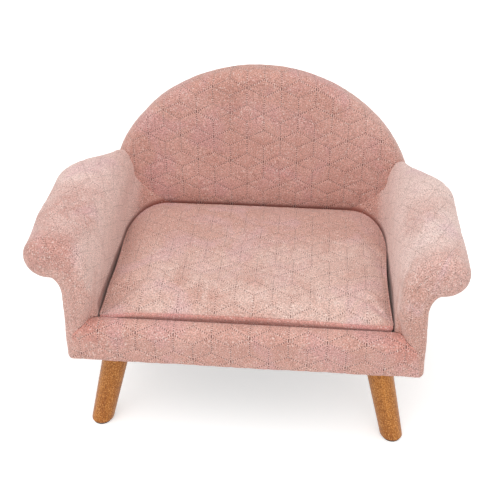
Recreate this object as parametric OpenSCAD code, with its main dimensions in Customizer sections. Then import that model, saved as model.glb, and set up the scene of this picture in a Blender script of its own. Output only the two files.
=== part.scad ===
// Upholstered pet sofa bed: a padded base box on four splayed wooden legs,
// two rolled arms, a half-round back and a loose, zipped seat cushion.
// Millimetres. +Z is up, the front faces -Y, and the origin is on the floor
// under the middle of the sofa. The covers are quilted velvet over foam.
// Depths are counted back from the front face, heights up from the underside
// of the base.

/* [Body] */
// Width over the base box
body_w = 520; // [460:5:620]
// Depth from the front face to the rear face
body_d = 374; // [340:2:460]
// Height of the upholstered base box
base_h = 64; // [58:1:84]
// Floor to the underside of the base box
leg_h = 158; // [100:2:220]

/* [Arms] */
// Thickness of the upholstered arm wall where it meets the seat
arm_wall = 46; // [44:1:56]
// Top of the arm roll above the underside of the base
arm_h = 207; // [199:2:235]
// How far the roll stands out past the side of the base
roll_reach = 42; // [36:1:52]
// Height of the roll's centre below its top
roll_half_h = 32; // [29:1:36]
// Roundness of the arm's front end and of the front rail's top
nose_r = 18; // [12:1:20]
// Length of the arm over which the roll keeps its full section
roll_len = 196; // [150:2:208]
// Top of the arm where it meets the back, above the underside of the base
arm_rear_h = 176; // [166:1:186]

/* [Back] */
// Thickness of the upholstered back
back_t = 44; // [40:1:52]
// Height of the centre of the half-round above the underside of the base
back_centre_h = 56; // [46:2:66]
// Rounding of the back's front edge
back_front_round = 20; // [12:1:22]
// Rounding of the back's rear edge
back_rear_round = 14; // [8:1:18]

/* [Seat] */
// Depth of the padded front rail, front face to cushion
front_t = 26; // [24:1:34]
// Top of the seat deck above the underside of the base
deck_rise = 24; // [22:1:30]
// How far the cushion's edge stands above the front rail
cushion_proud = 12; // [6:1:24]
// Height of the cushion's crown above its edge
cushion_crown = 17; // [8:1:30]
// Gap between the cushion and the upholstery round it
cushion_gap = 1.5; // [1:0.5:4]
// Width of the rounded rear corner of the seat
corner_w = 68; // [50:2:80]
// Depth of the rounded rear corner of the seat
corner_d = 115; // [90:5:130]

/* [Legs] */
// Radius of a leg at its top
leg_top_r = 21; // [17:0.5:22]
// Radius of a leg at its foot
leg_foot_r = 17; // [13:0.5:18]
// Sideways splay of a foot from the top of its leg
leg_splay_x = 38; // [10:1:44]
// Forward or backward splay of a foot from the top of its leg
leg_splay_y = 29; // [0:1:34]
// Thickness of the felt glide under each foot
glide_t = 3; // [2:0.5:5]

/* [Frame] */
// Thickness of the side rails
rail_t = 18; // [15:0.5:19]
// Thickness of the arm posts, ribs and the back board
board_t = 12; // [9:0.5:14]
// Thickness of the seat deck
deck_t = 6; // [4:0.5:8]
// Thickness of the arm side panel
panel_t = 6; // [4:0.5:6]
// Width of the cleats that carry the deck
cleat_w = 15; // [12:1:18]
// Padding over the front rail board
front_pad = 8; // [6:0.5:9]
// Padding on the seat side of the arm wall
inner_pad = 8; // [6:0.5:8]
// Padding round the rim of the back board
rim_pad = 12; // [10:1:16]
// Padding in front of the back board
back_pad = 18; // [14:1:20]

/* [Hidden] */

// Colours, as they show in daylight
velvet = [0.84, 0.64, 0.59];
velvet_pale = [0.88, 0.73, 0.69];
honey_wood = [0.70, 0.46, 0.27];
pine = [0.85, 0.72, 0.50];
plywood = [0.78, 0.65, 0.45];
card = [0.66, 0.52, 0.36];
black_cloth = [0.12, 0.12, 0.13];
steel = [0.62, 0.63, 0.65];
foam = [0.93, 0.90, 0.80];
felt = [0.35, 0.30, 0.27];
brass = [0.72, 0.58, 0.34];

overrun = 1;          // how far a cut runs past what it cuts
fine_fn = 120;        // sides of the back's round
small_fn = 40;        // sides of a leg, bolt or screw
fit_gap = 0.1;        // clearance round a bolt, screw or tube in its bore

// Main planes
half_w = body_w / 2;
seat_half = half_w - arm_wall;
y_front = -body_d / 2;
skin_t = 2;                            // cover that turns under the frame
arm_d = body_d - back_t;               // depth of the arms
z_base = leg_h;
rail_h = base_h - front_pad;           // top of the front board and side rails
cleat_h = deck_rise - deck_t;          // top of the cleats and corner blocks
cavity_in = seat_half + inner_pad;     // seat side of the side rail
panel_x = cavity_in + rail_t;          // outer side of the side rail
cavity_out = panel_x + panel_t;        // outer side of the side panel
board_rear = front_t - skin_t;         // rear face of the front board
back_face = arm_d + back_pad;          // front face of the back board
back_rear = back_face + board_t;       // rear face of the back board
back_proud = 4;                        // the back is wider than the base by this a side
back_r = half_w + back_proud;          // radius of the half-round back

// Arm section
wall_lean = 7;        // the outer face leans in by this up to the roll
roll_out = 8;         // the roll's centre stands out from the base by this
shoulder_h = 62;      // height of the curve on the seat side of the roll
throat_h = 25;        // height of the hollow under the roll
edge_r = 8;           // rounding of the outer upright edge
bottom_round = 6;     // rounding of the lower outer edge
panel_h = 108;        // top of the side panel
wall_x = half_w - wall_lean;
roll_x = half_w + roll_out;
roll_z = arm_h - roll_half_h;
roll_rx = half_w + roll_reach - roll_x;
shoulder_z = arm_h - shoulder_h;
throat_z = roll_z - roll_half_h - throat_h;
arc_steps = 7;
face_steps = 6;

// Arm section where it meets the back
rear_top_w = 22;      // width of the curve on the seat side
rear_shoulder_h = 53; // height of that curve
rear_side_w = 12;     // width of the curve on the outer side
rear_side_h = 25;     // height of that curve
rear_fair_h = 24;     // how far below the hollow the outer faces meet
rear_fair_x = 2;      // how far the rear section is wider there
rear_top_x = seat_half + rear_top_w;
rear_out_x = rear_top_x + rear_side_w;

// Points on a part ellipse from angle a to angle b
function arc(cx, cy, rx, ry, a, b, n) =
    [for (i = [0:n]) let (t = a + (b - a) * i / n) [cx + rx * cos(t), cy + ry * sin(t)]];
// Points from p to q, without both ends
function between(p, q, n) = [for (i = [1:n]) p + (q - p) * i / (n + 1)];
// Points up the seat side of the arm, from the underside of the base
function seat_side(x, top) = [for (i = [0:face_steps]) [x, top * i / (face_steps + 1)]];

// Arm outline at its full roll, drawn in by e, and by w on the outer wall
function full_outline(e, w) = concat(
    seat_side(seat_half + e, shoulder_z),
    arc(roll_x, shoulder_z, roll_x - seat_half - e, shoulder_h - e, 180, 90, arc_steps),
    arc(roll_x, roll_z, roll_rx - e, roll_half_h - e, 80, 0, arc_steps),
    arc(roll_x, roll_z, roll_rx - e, roll_half_h - e, -10, -85, arc_steps),
    arc(roll_x, throat_z, roll_x - wall_x + w, throat_h + e, 100, 180, arc_steps),
    arc(half_w - w - bottom_round, bottom_round, bottom_round, bottom_round, 0, -90, 2));

// Arm outline where it meets the back, with the same count of points
function rear_outline() = concat(
    seat_side(seat_half, arm_rear_h - rear_shoulder_h),
    arc(rear_top_x, arm_rear_h - rear_shoulder_h, rear_top_w, rear_shoulder_h, 180, 90, arc_steps),
    arc(rear_top_x, arm_rear_h - rear_side_h, rear_side_w, rear_side_h, 80, 0, arc_steps),
    between([rear_out_x, arm_rear_h - rear_side_h],
        [wall_x + rear_fair_x, throat_z - rear_fair_h], 2 * arc_steps + 2),
    arc(half_w - bottom_round, bottom_round, bottom_round, bottom_round, 0, -90, 2));

// Share of the full roll left at depth u
roll_fade_share = 0.85;
function roll_share(u) =
    let (t = min(1, max(0, (u - roll_len) / (arm_d - roll_len))))
    pow((1 + cos(180 * t)) / 2, roll_fade_share);
// How far a front edge of radius r is drawn in at depth u
function edge_inset(u, r) = u >= r ? 0 : r - sqrt(r * r - pow(r - u, 2));
// Width of the padded rear corner at depth u, and the share of it left at height h
corner_fade_h = 68;
function corner_fill(u) =
    let (t = min(1, max(0, (u - arm_d + corner_d) / corner_d)))
    corner_w * (1 - sqrt(1 - t * t));
function corner_share(h) =
    let (t = min(1, max(0, (h - base_h) / corner_fade_h)))
    (1 + cos(180 * t)) / 2;

// Arm section at depth u: the full outline fades into the rear one, and the
// seat side swells into the padded corner
function arm_ring(u) =
    let (share = roll_share(u), full = full_outline(edge_inset(u, nose_r), edge_inset(u, edge_r)),
         rear = rear_outline())
    [for (i = [0:len(full) - 1])
        let (p = rear[i] + (full[i] - rear[i]) * share,
             swell = i <= face_steps + arc_steps ? corner_fill(u) * corner_share(p[1]) : 0)
        [p[0] - swell, y_front + u, z_base + p[1]]];
nose_steps = 6;
fade_steps = 12;
arm_depths = concat(
    [for (i = [0:nose_steps]) nose_r * (1 - cos(90 * i / nose_steps))],
    [for (i = [0:fade_steps]) roll_len + (arm_d - roll_len) * sin(90 * i / fade_steps)]);

// A solid through rings of points that run clockwise, seen from before the
// first. Each end is closed by a strip that runs up between its two halves.
module loft(rings) {
    n = len(rings[0]);
    end = (len(rings) - 1) * n;
    sides = [for (k = [0:len(rings) - 2], i = [0:n - 1])
        let (a = k * n + i, b = k * n + (i + 1) % n)
        each [[a, b + n, b], [a, a + n, b + n]]];
    first_cap = [for (i = [0:n / 2 - 2]) let (j = n - 1 - i) each [[i, i + 1, j - 1], [i, j - 1, j]]];
    last_cap = [for (t = first_cap) [end + t[0], end + t[2], end + t[1]]];
    polyhedron([for (ring = rings) each ring], concat(sides, first_cap, last_cap), convexity = 8);
}

// A piece drawn on the right, or its mirror image on the left
module on_side(side) {
    if (side < 0) mirror([1, 0, 0]) children();
    else children();
}

// A block between two x, two depths and two heights
module block(x0, x1, u0, u1, h0, h1) {
    translate([x0, y_front + u0, z_base + h0]) cube([x1 - x0, u1 - u0, h1 - h0]);
}

// A flat outline of x and height, given thickness between two depths
module slab(u0, u1) {
    translate([0, y_front + u1, z_base]) rotate([90, 0, 0])
        linear_extrude(u1 - u0) children();
}

// The half-round back's outline, drawn in by e, with its foot at height foot
module back_outline(e, foot) {
    intersection() {
        union() {
            translate([0, back_centre_h]) circle(r = back_r - e, $fn = fine_fn);
            translate([-back_r + e, 0]) square([2 * (back_r - e), back_centre_h]);
        }
        translate([-back_r, foot]) square([2 * back_r, back_centre_h + back_r]);
    }
}

// Side rails, arm formers and side panels
former_inset = inner_pad;
rib_rear = roll_len;
post_front = front_pad;
tube_r = 16;
tube_wall = 3;
rear_post_h = 130;

// Screws
screw_r = 2;
screw_head_r = 4;
screw_head_t = 2.5;
screw_len = 42;
screw_low_share = 0.28;
screw_high_share = 0.72;
screw_hs = [rail_h * screw_low_share, rail_h * screw_high_share];

// A countersunk screw with its head's face at the origin, pointing down -Z
module screw(grow) {
    translate([0, 0, -screw_head_t])
        cylinder(h = screw_head_t, r1 = screw_r + grow, r2 = screw_head_r + grow, $fn = small_fn);
    translate([0, 0, -screw_len - grow])
        cylinder(h = screw_len - screw_head_t + 2 * grow, r = screw_r + grow, $fn = small_fn);
}
// Every frame screw, grown by a clearance: two through each arm post into the
// front board, and two through the back board into each side rail
module each_frame_screw(grow) {
    for (side = [-1, 1], h = screw_hs) on_side(side) {
        translate([panel_x, y_front + post_front + board_t / 2, z_base + h])
            rotate([0, 90, 0]) screw(grow);
        translate([cavity_in + rail_t / 2, y_front + back_rear, z_base + h])
            rotate([-90, 0, 0]) screw(grow);
    }
}

// Legs hang from plates under the corner blocks. In a leg's own place the
// origin is the middle of its top, +X points out to the side and -Y out to
// the nearer end of the sofa.
plate_w = 56;
plate_set = 14;        // from the front or back board to the plate
plate_screw_in = 8;    // from a plate's edge to its screws
block_w = 72;
block_d = 76;
bolt_r = 4;
bolt_in_leg = 30;
bolt_up = 13;
socket_r = 9;
socket_up = 11;
foot_round = 2.5;
plate_screw_r = 1.75;
plate_screw_len = 15;
plate_head_r = 3.5;
plate_head_t = 1.6;
leg_x = cavity_in - plate_w / 2;
leg_front_u = board_rear + plate_set + plate_w / 2;
leg_rear_u = back_face - plate_set - plate_w / 2;
leg_tilt = atan2(norm([leg_splay_x, leg_splay_y]), leg_h);
leg_turn = atan2(leg_splay_y, -leg_splay_x);
leg_run = norm([leg_splay_x, leg_splay_y, leg_h]);
leg_taper = (leg_top_r - leg_foot_r) / leg_run;
leg_spare = leg_top_r;     // extra length at both ends, cut off level
grain_turn = 40;           // each leg is turned by this about its own axis

module leg_place(side, end) {
    translate([side * leg_x, y_front + (end < 0 ? leg_front_u : leg_rear_u), z_base])
        mirror([side < 0 ? 1 : 0, 0, 0]) mirror([0, end > 0 ? 1 : 0, 0]) children();
}
module each_leg() {
    for (side = [-1, 1], end = [-1, 1]) leg_place(side, end) children();
}
// Turns +Z to run from the foot up to the top of the leg
module lean() {
    rotate([0, leg_tilt, leg_turn]) rotate([0, 0, grain_turn]) children();
}
module bolt(grow) {
    lean() translate([0, 0, -bolt_in_leg - grow])
        cylinder(h = bolt_in_leg + bolt_up + 2 * grow, r = bolt_r + grow, $fn = small_fn);
}
module socket(grow) {
    cylinder(h = socket_up + grow, r = socket_r + grow, $fn = small_fn);
}
module each_plate_screw() {
    reach = plate_w / 2 - plate_screw_in;
    for (sx = [-1, 1], sy = [-1, 1]) translate([sx * reach, sy * reach, 0]) children();
}

module leg(side, end) {
    leg_place(side, end) difference() {
        intersection() {
            lean() translate([0, 0, -leg_run - leg_spare])
                cylinder(h = leg_run + 2 * leg_spare, r1 = leg_foot_r - leg_taper * leg_spare,
                    r2 = leg_top_r + leg_taper * leg_spare, $fn = small_fn);
            translate([-leg_h, -leg_h, glide_t - leg_h]) cube([2 * leg_h, 2 * leg_h, leg_h - glide_t]);
            translate([leg_splay_x, -leg_splay_y, glide_t - leg_h])
                cylinder(h = leg_h, r1 = leg_foot_r - foot_round,
                    r2 = leg_foot_r - foot_round + leg_h, $fn = small_fn);
        }
        bolt(fit_gap);
    }
}
module glide(side, end) {
    leg_place(side, end) translate([leg_splay_x, -leg_splay_y, -leg_h])
        cylinder(h = glide_t, r = leg_foot_r - foot_round, $fn = small_fn);
}

// The timber and card inside the covers. The covers leave it free, and flat
// faces meet.
module arm_former(u0, foot) {
    slab(u0, u0 + board_t) polygon(concat(
        [[cavity_in, foot]],
        [for (p = full_outline(former_inset, former_inset)) if (p[1] > panel_h) p],
        [[wall_x - former_inset, panel_h], [panel_x, panel_h], [panel_x, foot]]));
}
module tube_bore(grow) {
    translate([roll_x, y_front + rib_rear + overrun, z_base + roll_z]) rotate([90, 0, 0])
        cylinder(h = rib_rear - post_front - board_t + overrun, r = tube_r + grow, $fn = small_fn);
}
module rail_solid() {
    block(cavity_in, panel_x, post_front + board_t, back_face, skin_t, rail_h);
}
module rear_post_solid() {
    block(cavity_in, panel_x, arm_d - board_t, back_face, rail_h, rear_post_h);
}
module panel_solid() {
    block(panel_x, cavity_out, post_front, arm_d, skin_t, panel_h);
}
module under_deck() {
    block(-cavity_in, cavity_in, board_rear, back_face, -overrun, deck_rise);
}
module arm_timber() {
    arm_former(post_front, skin_t);
    arm_former(rib_rear - board_t, rail_h);
    tube_bore(fit_gap);
    rail_solid();
    rear_post_solid();
    panel_solid();
    under_deck();
}

// The front rail's cover ends in a mitre at 45 degrees, on the seat's corner
mitre_foot_h = base_h - arm_wall;
module mitre_shape(far) {
    polygon([[-half_w - far, -far], [half_w + far, -far], [half_w + far, mitre_foot_h - far],
        [seat_half, base_h], [-seat_half, base_h], [-half_w - far, mitre_foot_h - far]]);
}
module rail_profile() {
    // u runs right, height runs up
    polygon(concat([[front_t, 0]],
        arc(bottom_round, bottom_round, bottom_round, bottom_round, -90, -180, arc_steps),
        arc(nose_r, base_h - nose_r, nose_r, nose_r, 180, 90, arc_steps),
        [[front_t, base_h]]));
}
module front_corners() {
    // plan of the base with its two front edges rounded
    translate([-half_w, y_front + edge_r]) square([body_w, body_d - edge_r]);
    translate([-half_w + edge_r, y_front]) square([body_w - 2 * edge_r, body_d]);
    for (side = [-1, 1]) translate([side * (half_w - edge_r), y_front + edge_r])
        circle(r = edge_r, $fn = small_fn);
}

module front_rail_cover() {
    color(velvet) difference() {
        intersection() {
            translate([half_w, y_front, z_base]) rotate([90, 0, -90])
                linear_extrude(body_w) mirror([1, 0, 0]) rail_profile();
            slab(-overrun, front_t + overrun) mitre_shape(0);
            translate([0, 0, z_base - overrun]) linear_extrude(base_h + 2 * overrun) front_corners();
        }
        block(-cavity_in, cavity_in, front_pad, board_rear, skin_t, rail_h);
        under_deck();
        for (side = [-1, 1]) on_side(side) {
            arm_former(post_front, skin_t);
            rail_solid();
            panel_solid();
        }
    }
}

module arm_cover(side) {
    on_side(side) color(velvet_pale) difference() {
        loft([for (u = arm_depths) arm_ring(u)]);
        arm_timber();
        slab(-overrun, front_t) mitre_shape(overrun);
    }
}

module back_form() {
    edge_gap = back_t - back_front_round - back_rear_round;
    core = back_r - max(back_front_round, back_rear_round);
    // profile of the rim: radius runs right, depth runs up
    module rim_profile() {
        square([core, back_t]);
        translate([0, back_front_round]) square([back_r, edge_gap]);
        translate([back_r - back_front_round, back_front_round])
            circle(r = back_front_round, $fn = small_fn);
        translate([back_r - back_rear_round, back_t - back_rear_round])
            circle(r = back_rear_round, $fn = small_fn);
        translate([0, back_front_round]) square([back_r - back_rear_round, back_t - back_front_round]);
    }
    intersection() {
        translate([0, y_front + arm_d, z_base + back_centre_h]) rotate([-90, 0, 0])
            rotate_extrude($fn = fine_fn) intersection() {
                rim_profile();
                square([back_r, back_t]);
            }
        block(-back_r, back_r, arm_d, body_d, back_centre_h, back_centre_h + back_r);
    }
    translate([0, y_front + arm_d, z_base]) linear_extrude(back_centre_h)
        for (side = [-1, 1]) mirror([side < 0 ? 1 : 0, 0]) intersection() {
            rim_profile();
            square([back_r, back_t]);
        }
}

// The landing fills the back's rounded front edge behind each arm's end
module back_cover() {
    color(velvet) difference() {
        union() {
            back_form();
            for (side = [-1, 1]) on_side(side) slab(arm_d, arm_d + back_front_round) intersection() {
                back_outline(0, 0);
                polygon(concat(
                    [for (i = [0:face_steps + arc_steps + 1]) rear_outline()[i]],
                    [[back_r + overrun, arm_rear_h], [back_r + overrun, 0]]));
            }
        }
        slab(back_face, back_rear) back_outline(rim_pad, skin_t);
        slab(back_rear, body_d + overrun) back_outline(back_rear_round, skin_t);
        under_deck();
        for (side = [-1, 1]) on_side(side) {
            rail_solid();
            rear_post_solid();
        }
    }
}

module back_rear_panel() {
    color(velvet) slab(back_rear, body_d) back_outline(back_rear_round, skin_t);
}

module dust_cover() {
    color(black_cloth) difference() {
        block(-cavity_in, cavity_in, front_t, back_face, 0, skin_t);
        each_leg() translate([-plate_w / 2, -plate_w / 2, -overrun])
            cube([plate_w, plate_w, skin_t + 2 * overrun]);
    }
}

module front_rail_board() {
    color(pine) difference() {
        block(-cavity_in, cavity_in, front_pad, board_rear, skin_t, rail_h);
        each_frame_screw(fit_gap);
    }
}

module side_rail(side) {
    color(pine) difference() {
        on_side(side) rail_solid();
        each_frame_screw(fit_gap);
    }
}

module back_board() {
    color(plywood) difference() {
        slab(back_face, back_rear) back_outline(rim_pad, skin_t);
        each_frame_screw(fit_gap);
    }
}

module arm_post(side) {
    color(plywood) difference() {
        on_side(side) arm_former(post_front, skin_t);
        each_frame_screw(fit_gap);
    }
}

module arm_rib(side) {
    color(plywood) on_side(side) difference() {
        arm_former(rib_rear - board_t, rail_h);
        tube_bore(fit_gap);
    }
}

module rear_post(side) {
    color(pine) on_side(side) rear_post_solid();
}

module side_panel(side) {
    color(card) on_side(side) panel_solid();
}

module roll_tube(side) {
    color(card) on_side(side)
        translate([roll_x, y_front + rib_rear, z_base + roll_z]) rotate([90, 0, 0]) difference() {
            cylinder(h = rib_rear - post_front - board_t, r = tube_r, $fn = small_fn);
            translate([0, 0, -overrun])
                cylinder(h = rib_rear + overrun, r = tube_r - tube_wall, $fn = small_fn);
        }
}

module corner_blocks() {
    color(pine) difference() {
        for (side = [-1, 1]) on_side(side) {
            block(cavity_in - block_w, cavity_in, board_rear, board_rear + block_d, skin_t, cleat_h);
            block(cavity_in - block_w, cavity_in, back_face - block_d, back_face, skin_t, cleat_h);
        }
        each_leg() {
            socket(fit_gap);
            bolt(fit_gap);
            each_plate_screw() translate([0, 0, -overrun])
                cylinder(h = plate_screw_len + overrun + fit_gap, r = plate_screw_r + fit_gap,
                    $fn = small_fn);
        }
    }
}

module deck_cleats() {
    color(pine) {
        block(block_w - cavity_in, cavity_in - block_w, board_rear, board_rear + cleat_w,
            skin_t, cleat_h);
        for (side = [-1, 1]) on_side(side)
            block(cavity_in - cleat_w, cavity_in, board_rear + block_d, back_face - block_d,
                skin_t, cleat_h);
    }
}

module rear_cleat() {
    color(pine) block(block_w - cavity_in, cavity_in - block_w, back_face - cleat_w, back_face,
        skin_t, cleat_h);
}

slat_w = 40;
module centre_slat() {
    color(pine) block(-slat_w / 2, slat_w / 2, board_rear + cleat_w, back_face - cleat_w,
        skin_t, cleat_h);
}

module seat_deck() {
    color(plywood) block(-cavity_in, cavity_in, board_rear, back_face, cleat_h, deck_rise);
}

module frame_screws() {
    color(steel) each_frame_screw(0);
}

module leg_plates() {
    color(steel) each_leg() difference() {
        union() {
            translate([-plate_w / 2, -plate_w / 2, 0]) cube([plate_w, plate_w, skin_t]);
            socket(0);
        }
        bolt(fit_gap);
        each_plate_screw() translate([0, 0, -overrun])
            cylinder(h = skin_t + 2 * overrun, r = plate_screw_r + fit_gap, $fn = small_fn);
    }
}

module hanger_bolts() {
    color(steel) each_leg() bolt(0);
}

module plate_screws() {
    color(steel) each_leg() each_plate_screw() {
        translate([0, 0, -plate_head_t])
            cylinder(h = plate_head_t, r = plate_head_r, $fn = small_fn);
        cylinder(h = plate_screw_len, r = plate_screw_r, $fn = small_fn);
    }
}

// The cushion's outline: straight front and sides, padded rear corners, all
// drawn in between its corners
rest_gap = 0.3;            // from the deck to the cushion
side_draw = 3;             // how far a side is drawn in at its middle
side_steps = 6;
corner_steps = 7;
cushion_w = seat_half - cushion_gap;
cushion_front = front_t + cushion_gap;
cushion_rear = arm_d - cushion_gap;
cushion_z = deck_rise + rest_gap;
seam_h = base_h + cushion_proud;
border_h = seam_h - cushion_z;
function bow(t) = side_draw * sin(180 * t);
function cushion_outline() = concat(
    [for (i = [0:2 * side_steps - 1]) let (t = i / (2 * side_steps))
        [-cushion_w + 2 * cushion_w * t, cushion_front + bow(t) / 2]],
    [for (i = [0:side_steps - 1]) let (t = i / side_steps)
        [cushion_w - bow(t), cushion_front + (cushion_rear - corner_d - cushion_front) * t]],
    arc(cushion_w - corner_w, cushion_rear - corner_d, corner_w, corner_d, 0, 90, corner_steps),
    [for (i = [1:side_steps - 1]) let (t = i / side_steps)
        [(cushion_w - corner_w) * (1 - 2 * t), cushion_rear - bow(t)]],
    arc(corner_w - cushion_w, cushion_rear - corner_d, corner_w, corner_d, 90, 180, corner_steps),
    [for (i = [1:side_steps - 1]) let (t = 1 - i / side_steps)
        [-cushion_w + bow(t), cushion_front + (cushion_rear - corner_d - cushion_front) * t]]);
// One ring of the cushion: its outline drawn in by a share, at height h
cushion_mid = (cushion_front + cushion_rear) / 2;
function cushion_ring(share, h) =
    [for (p = cushion_outline())
        [p[0] * (1 - share), y_front + cushion_mid + (p[1] - cushion_mid) * (1 - share), z_base + h]];
low_edge_share = 0.03;
waist_share = 0.012;
low_round_share = 0.1;
seam_low_share = 0.97;
crown_power_share = 0.5;
crown_shares = [0.02, 0.06, 0.14, 0.26, 0.42, 0.62, 0.86];
// The crown dies away towards all four sides
function crown_h(x, y) = cushion_crown * pow(
    (1 - pow(abs(x) / cushion_w, 3)) * (1 - pow(abs(y) / (cushion_rear - cushion_mid), 3)),
    crown_power_share);
function crown_ring(share) =
    [for (p = cushion_outline())
        let (x = p[0] * (1 - share), y = (p[1] - cushion_mid) * (1 - share))
        [x, y_front + cushion_mid + y, z_base + seam_h + crown_h(x, y)]];
cushion_rings = concat(
    [cushion_ring(low_edge_share, cushion_z),
     cushion_ring(0, cushion_z + border_h * low_round_share),
     cushion_ring(waist_share, cushion_z + border_h / 2),
     cushion_ring(0, cushion_z + border_h * seam_low_share)],
    [for (share = crown_shares) crown_ring(share)]);

// Foam core, as a slab inside the cover
foam_in = 12;
foam_low = 3;
foam_high = 5;
foam_h = seam_h - foam_high;
module foam_solid() {
    translate([0, y_front, z_base + cushion_z + foam_low])
        linear_extrude(foam_h - cushion_z - foam_low)
        polygon([for (p = cushion_outline())
            [p[0] * (1 - foam_in / cushion_w),
             cushion_mid + (p[1] - cushion_mid) * (1 - foam_in / cushion_w)]]);
}

// Zip across the rear border, with its slider and pull
zip_len = 240;
zip_in = 6;               // the tape lies this far inside the cushion's rear line
tape_h = 18;
tape_t = 1;
coil_h = 4;
coil_t = 1.2;
slider_w = 8;
slider_h = 9;
slider_wall = 0.8;
slider_gap = 0.3;
pull_w = 5;
pull_h = 8;
pull_t = 0.8;
zip_u = cushion_rear - zip_in;
zip_h = cushion_z + border_h / 2;
coil_u = zip_u + tape_t;
slider_u = coil_u + slider_gap;
slider_t = coil_t + slider_wall;
module zip_recess() {
    block(-zip_len / 2, zip_len / 2, zip_u, cushion_rear + overrun,
        zip_h - tape_h / 2, zip_h + tape_h / 2);
}

module cushion_cover() {
    color(velvet_pale) difference() {
        loft(cushion_rings);
        foam_solid();
        zip_recess();
    }
}

module cushion_foam() {
    color(foam) foam_solid();
}

module zip_tape() {
    color(velvet) {
        block(-zip_len / 2, zip_len / 2, zip_u, coil_u, zip_h - tape_h / 2, zip_h + tape_h / 2);
        block(-zip_len / 2, zip_len / 2, coil_u, coil_u + coil_t, zip_h - coil_h / 2, zip_h + coil_h / 2);
    }
}

module zip_slider() {
    x0 = zip_len / 2 - 2 * slider_w;
    color(brass) {
        difference() {
            block(x0, x0 + slider_w, slider_u, slider_u + slider_t,
                zip_h - slider_h / 2, zip_h + slider_h / 2);
            block(x0 - overrun, x0 + slider_w + overrun, slider_u - overrun,
                coil_u + coil_t + slider_gap, zip_h - coil_h / 2 - slider_gap,
                zip_h + coil_h / 2 + slider_gap);
        }
        block(x0 + (slider_w - pull_w) / 2, x0 + (slider_w + pull_w) / 2,
            slider_u + slider_t, slider_u + slider_t + pull_t,
            zip_h - pull_h, zip_h + slider_h / 4);
    }
}

front_rail_cover();
arm_cover(-1);  // left_arm_cover
arm_cover(1);  // right_arm_cover
back_cover();
back_rear_panel();
dust_cover();
front_rail_board();
side_rail(-1);  // left_side_rail
side_rail(1);  // right_side_rail
back_board();
arm_post(-1);  // left_arm_post
arm_post(1);  // right_arm_post
arm_rib(-1);  // left_arm_rib
arm_rib(1);  // right_arm_rib
rear_post(-1);  // left_rear_post
rear_post(1);  // right_rear_post
side_panel(-1);  // left_side_panel
side_panel(1);  // right_side_panel
roll_tube(-1);  // left_roll_tube
roll_tube(1);  // right_roll_tube
corner_blocks();
deck_cleats();
rear_cleat();
centre_slat();
seat_deck();
frame_screws();
leg_plates();
hanger_bolts();
plate_screws();
leg(-1, -1);  // front_left_leg
leg(1, -1);  // front_right_leg
leg(-1, 1);  // rear_left_leg
leg(1, 1);  // rear_right_leg
glide(-1, -1);  // front_left_glide
glide(1, -1);  // front_right_glide
glide(-1, 1);  // rear_left_glide
glide(1, 1);  // rear_right_glide
cushion_cover();
cushion_foam();
zip_tape();
zip_slider();
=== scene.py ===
"""Pet sofa bed in quilted velvet: rolled arms, a half-round back, a loose zipped cushion and four turned legs.

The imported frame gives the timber, card, fixings and zip. This script dresses it: every padded cover is a new
surface worked out on a grid, in metres, x to the right, y to the back and z up. Depths are counted back from the
front face and heights up from the underside of the base, as in the frame's source.
"""

import bmesh
import bpy
import numpy as np
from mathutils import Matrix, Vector


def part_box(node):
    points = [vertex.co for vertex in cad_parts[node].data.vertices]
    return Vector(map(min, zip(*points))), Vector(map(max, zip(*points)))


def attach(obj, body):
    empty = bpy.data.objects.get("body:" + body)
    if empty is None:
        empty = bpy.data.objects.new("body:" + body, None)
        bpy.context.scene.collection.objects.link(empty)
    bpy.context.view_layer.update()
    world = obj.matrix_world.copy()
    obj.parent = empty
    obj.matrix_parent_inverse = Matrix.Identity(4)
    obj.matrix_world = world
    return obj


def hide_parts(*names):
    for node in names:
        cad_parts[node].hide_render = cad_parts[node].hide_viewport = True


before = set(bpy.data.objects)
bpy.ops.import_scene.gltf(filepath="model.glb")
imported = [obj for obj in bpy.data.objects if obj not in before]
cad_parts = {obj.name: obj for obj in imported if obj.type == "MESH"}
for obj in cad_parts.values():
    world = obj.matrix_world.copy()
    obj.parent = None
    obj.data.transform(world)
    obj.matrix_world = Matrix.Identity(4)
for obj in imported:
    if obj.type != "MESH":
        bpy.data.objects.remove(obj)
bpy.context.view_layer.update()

MM = 0.001

# Main planes, from the frame
rail_low, rail_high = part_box("front_rail_cover")
FRONT_Y, BASE_Z, HALF_WIDTH = rail_low.y, rail_low.z, rail_high.x

# Sizes that the frame's source gives, in metres
BASE_H = 64 * MM
FRONT_T = 26 * MM
SEAT_HALF = 214 * MM
ARM_DEPTH = 330 * MM
BODY_DEPTH = 374 * MM
NOSE_R = 18 * MM
EDGE_R = 8 * MM
BOTTOM_R = 6 * MM
ROLL_LENGTH = 196 * MM
CORNER_W = 68 * MM
CORNER_D = 115 * MM
CORNER_FADE_H = 68 * MM
BACK_R = 264 * MM
BACK_CENTRE_H = 56 * MM
BACK_BOARD_REAR = 360 * MM
BACK_FRONT_R = 20 * MM
BACK_REAR_R = 14 * MM

# Stitching: half the width of a block, half its upright edge, and the puff of the cloth between the lines
COLUMN = 27.4 * MM
RISE = 14.4 * MM
PUFF = 0.7 * MM
PUFF_REACH = 2.6 * MM


# Numbers on whole arrays


def soft_step(x, low, high):
    """Rises smoothly from 0 at low to 1 at high: 3 t squared less 2 t cubed of the clipped share t."""
    t = np.clip((x - low) / (high - low), 0, 1)
    return t * t * (3 - 2 * t)


def swell(places, wavelength, seed):
    """A soft random swell between about -1 and 1: the sum of eight sine waves in seeded directions, all about one
    wavelength long, halved."""
    rng = np.random.default_rng(seed)
    total = np.zeros(places.shape[:-1])
    for _ in range(8):
        way = rng.normal(size=3)
        length = wavelength * rng.uniform(0.7, 1.4)
        total += np.sin(places @ (way / np.linalg.norm(way)) * 2 * np.pi / length + rng.uniform(0, 2 * np.pi))
    return total / 4


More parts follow.
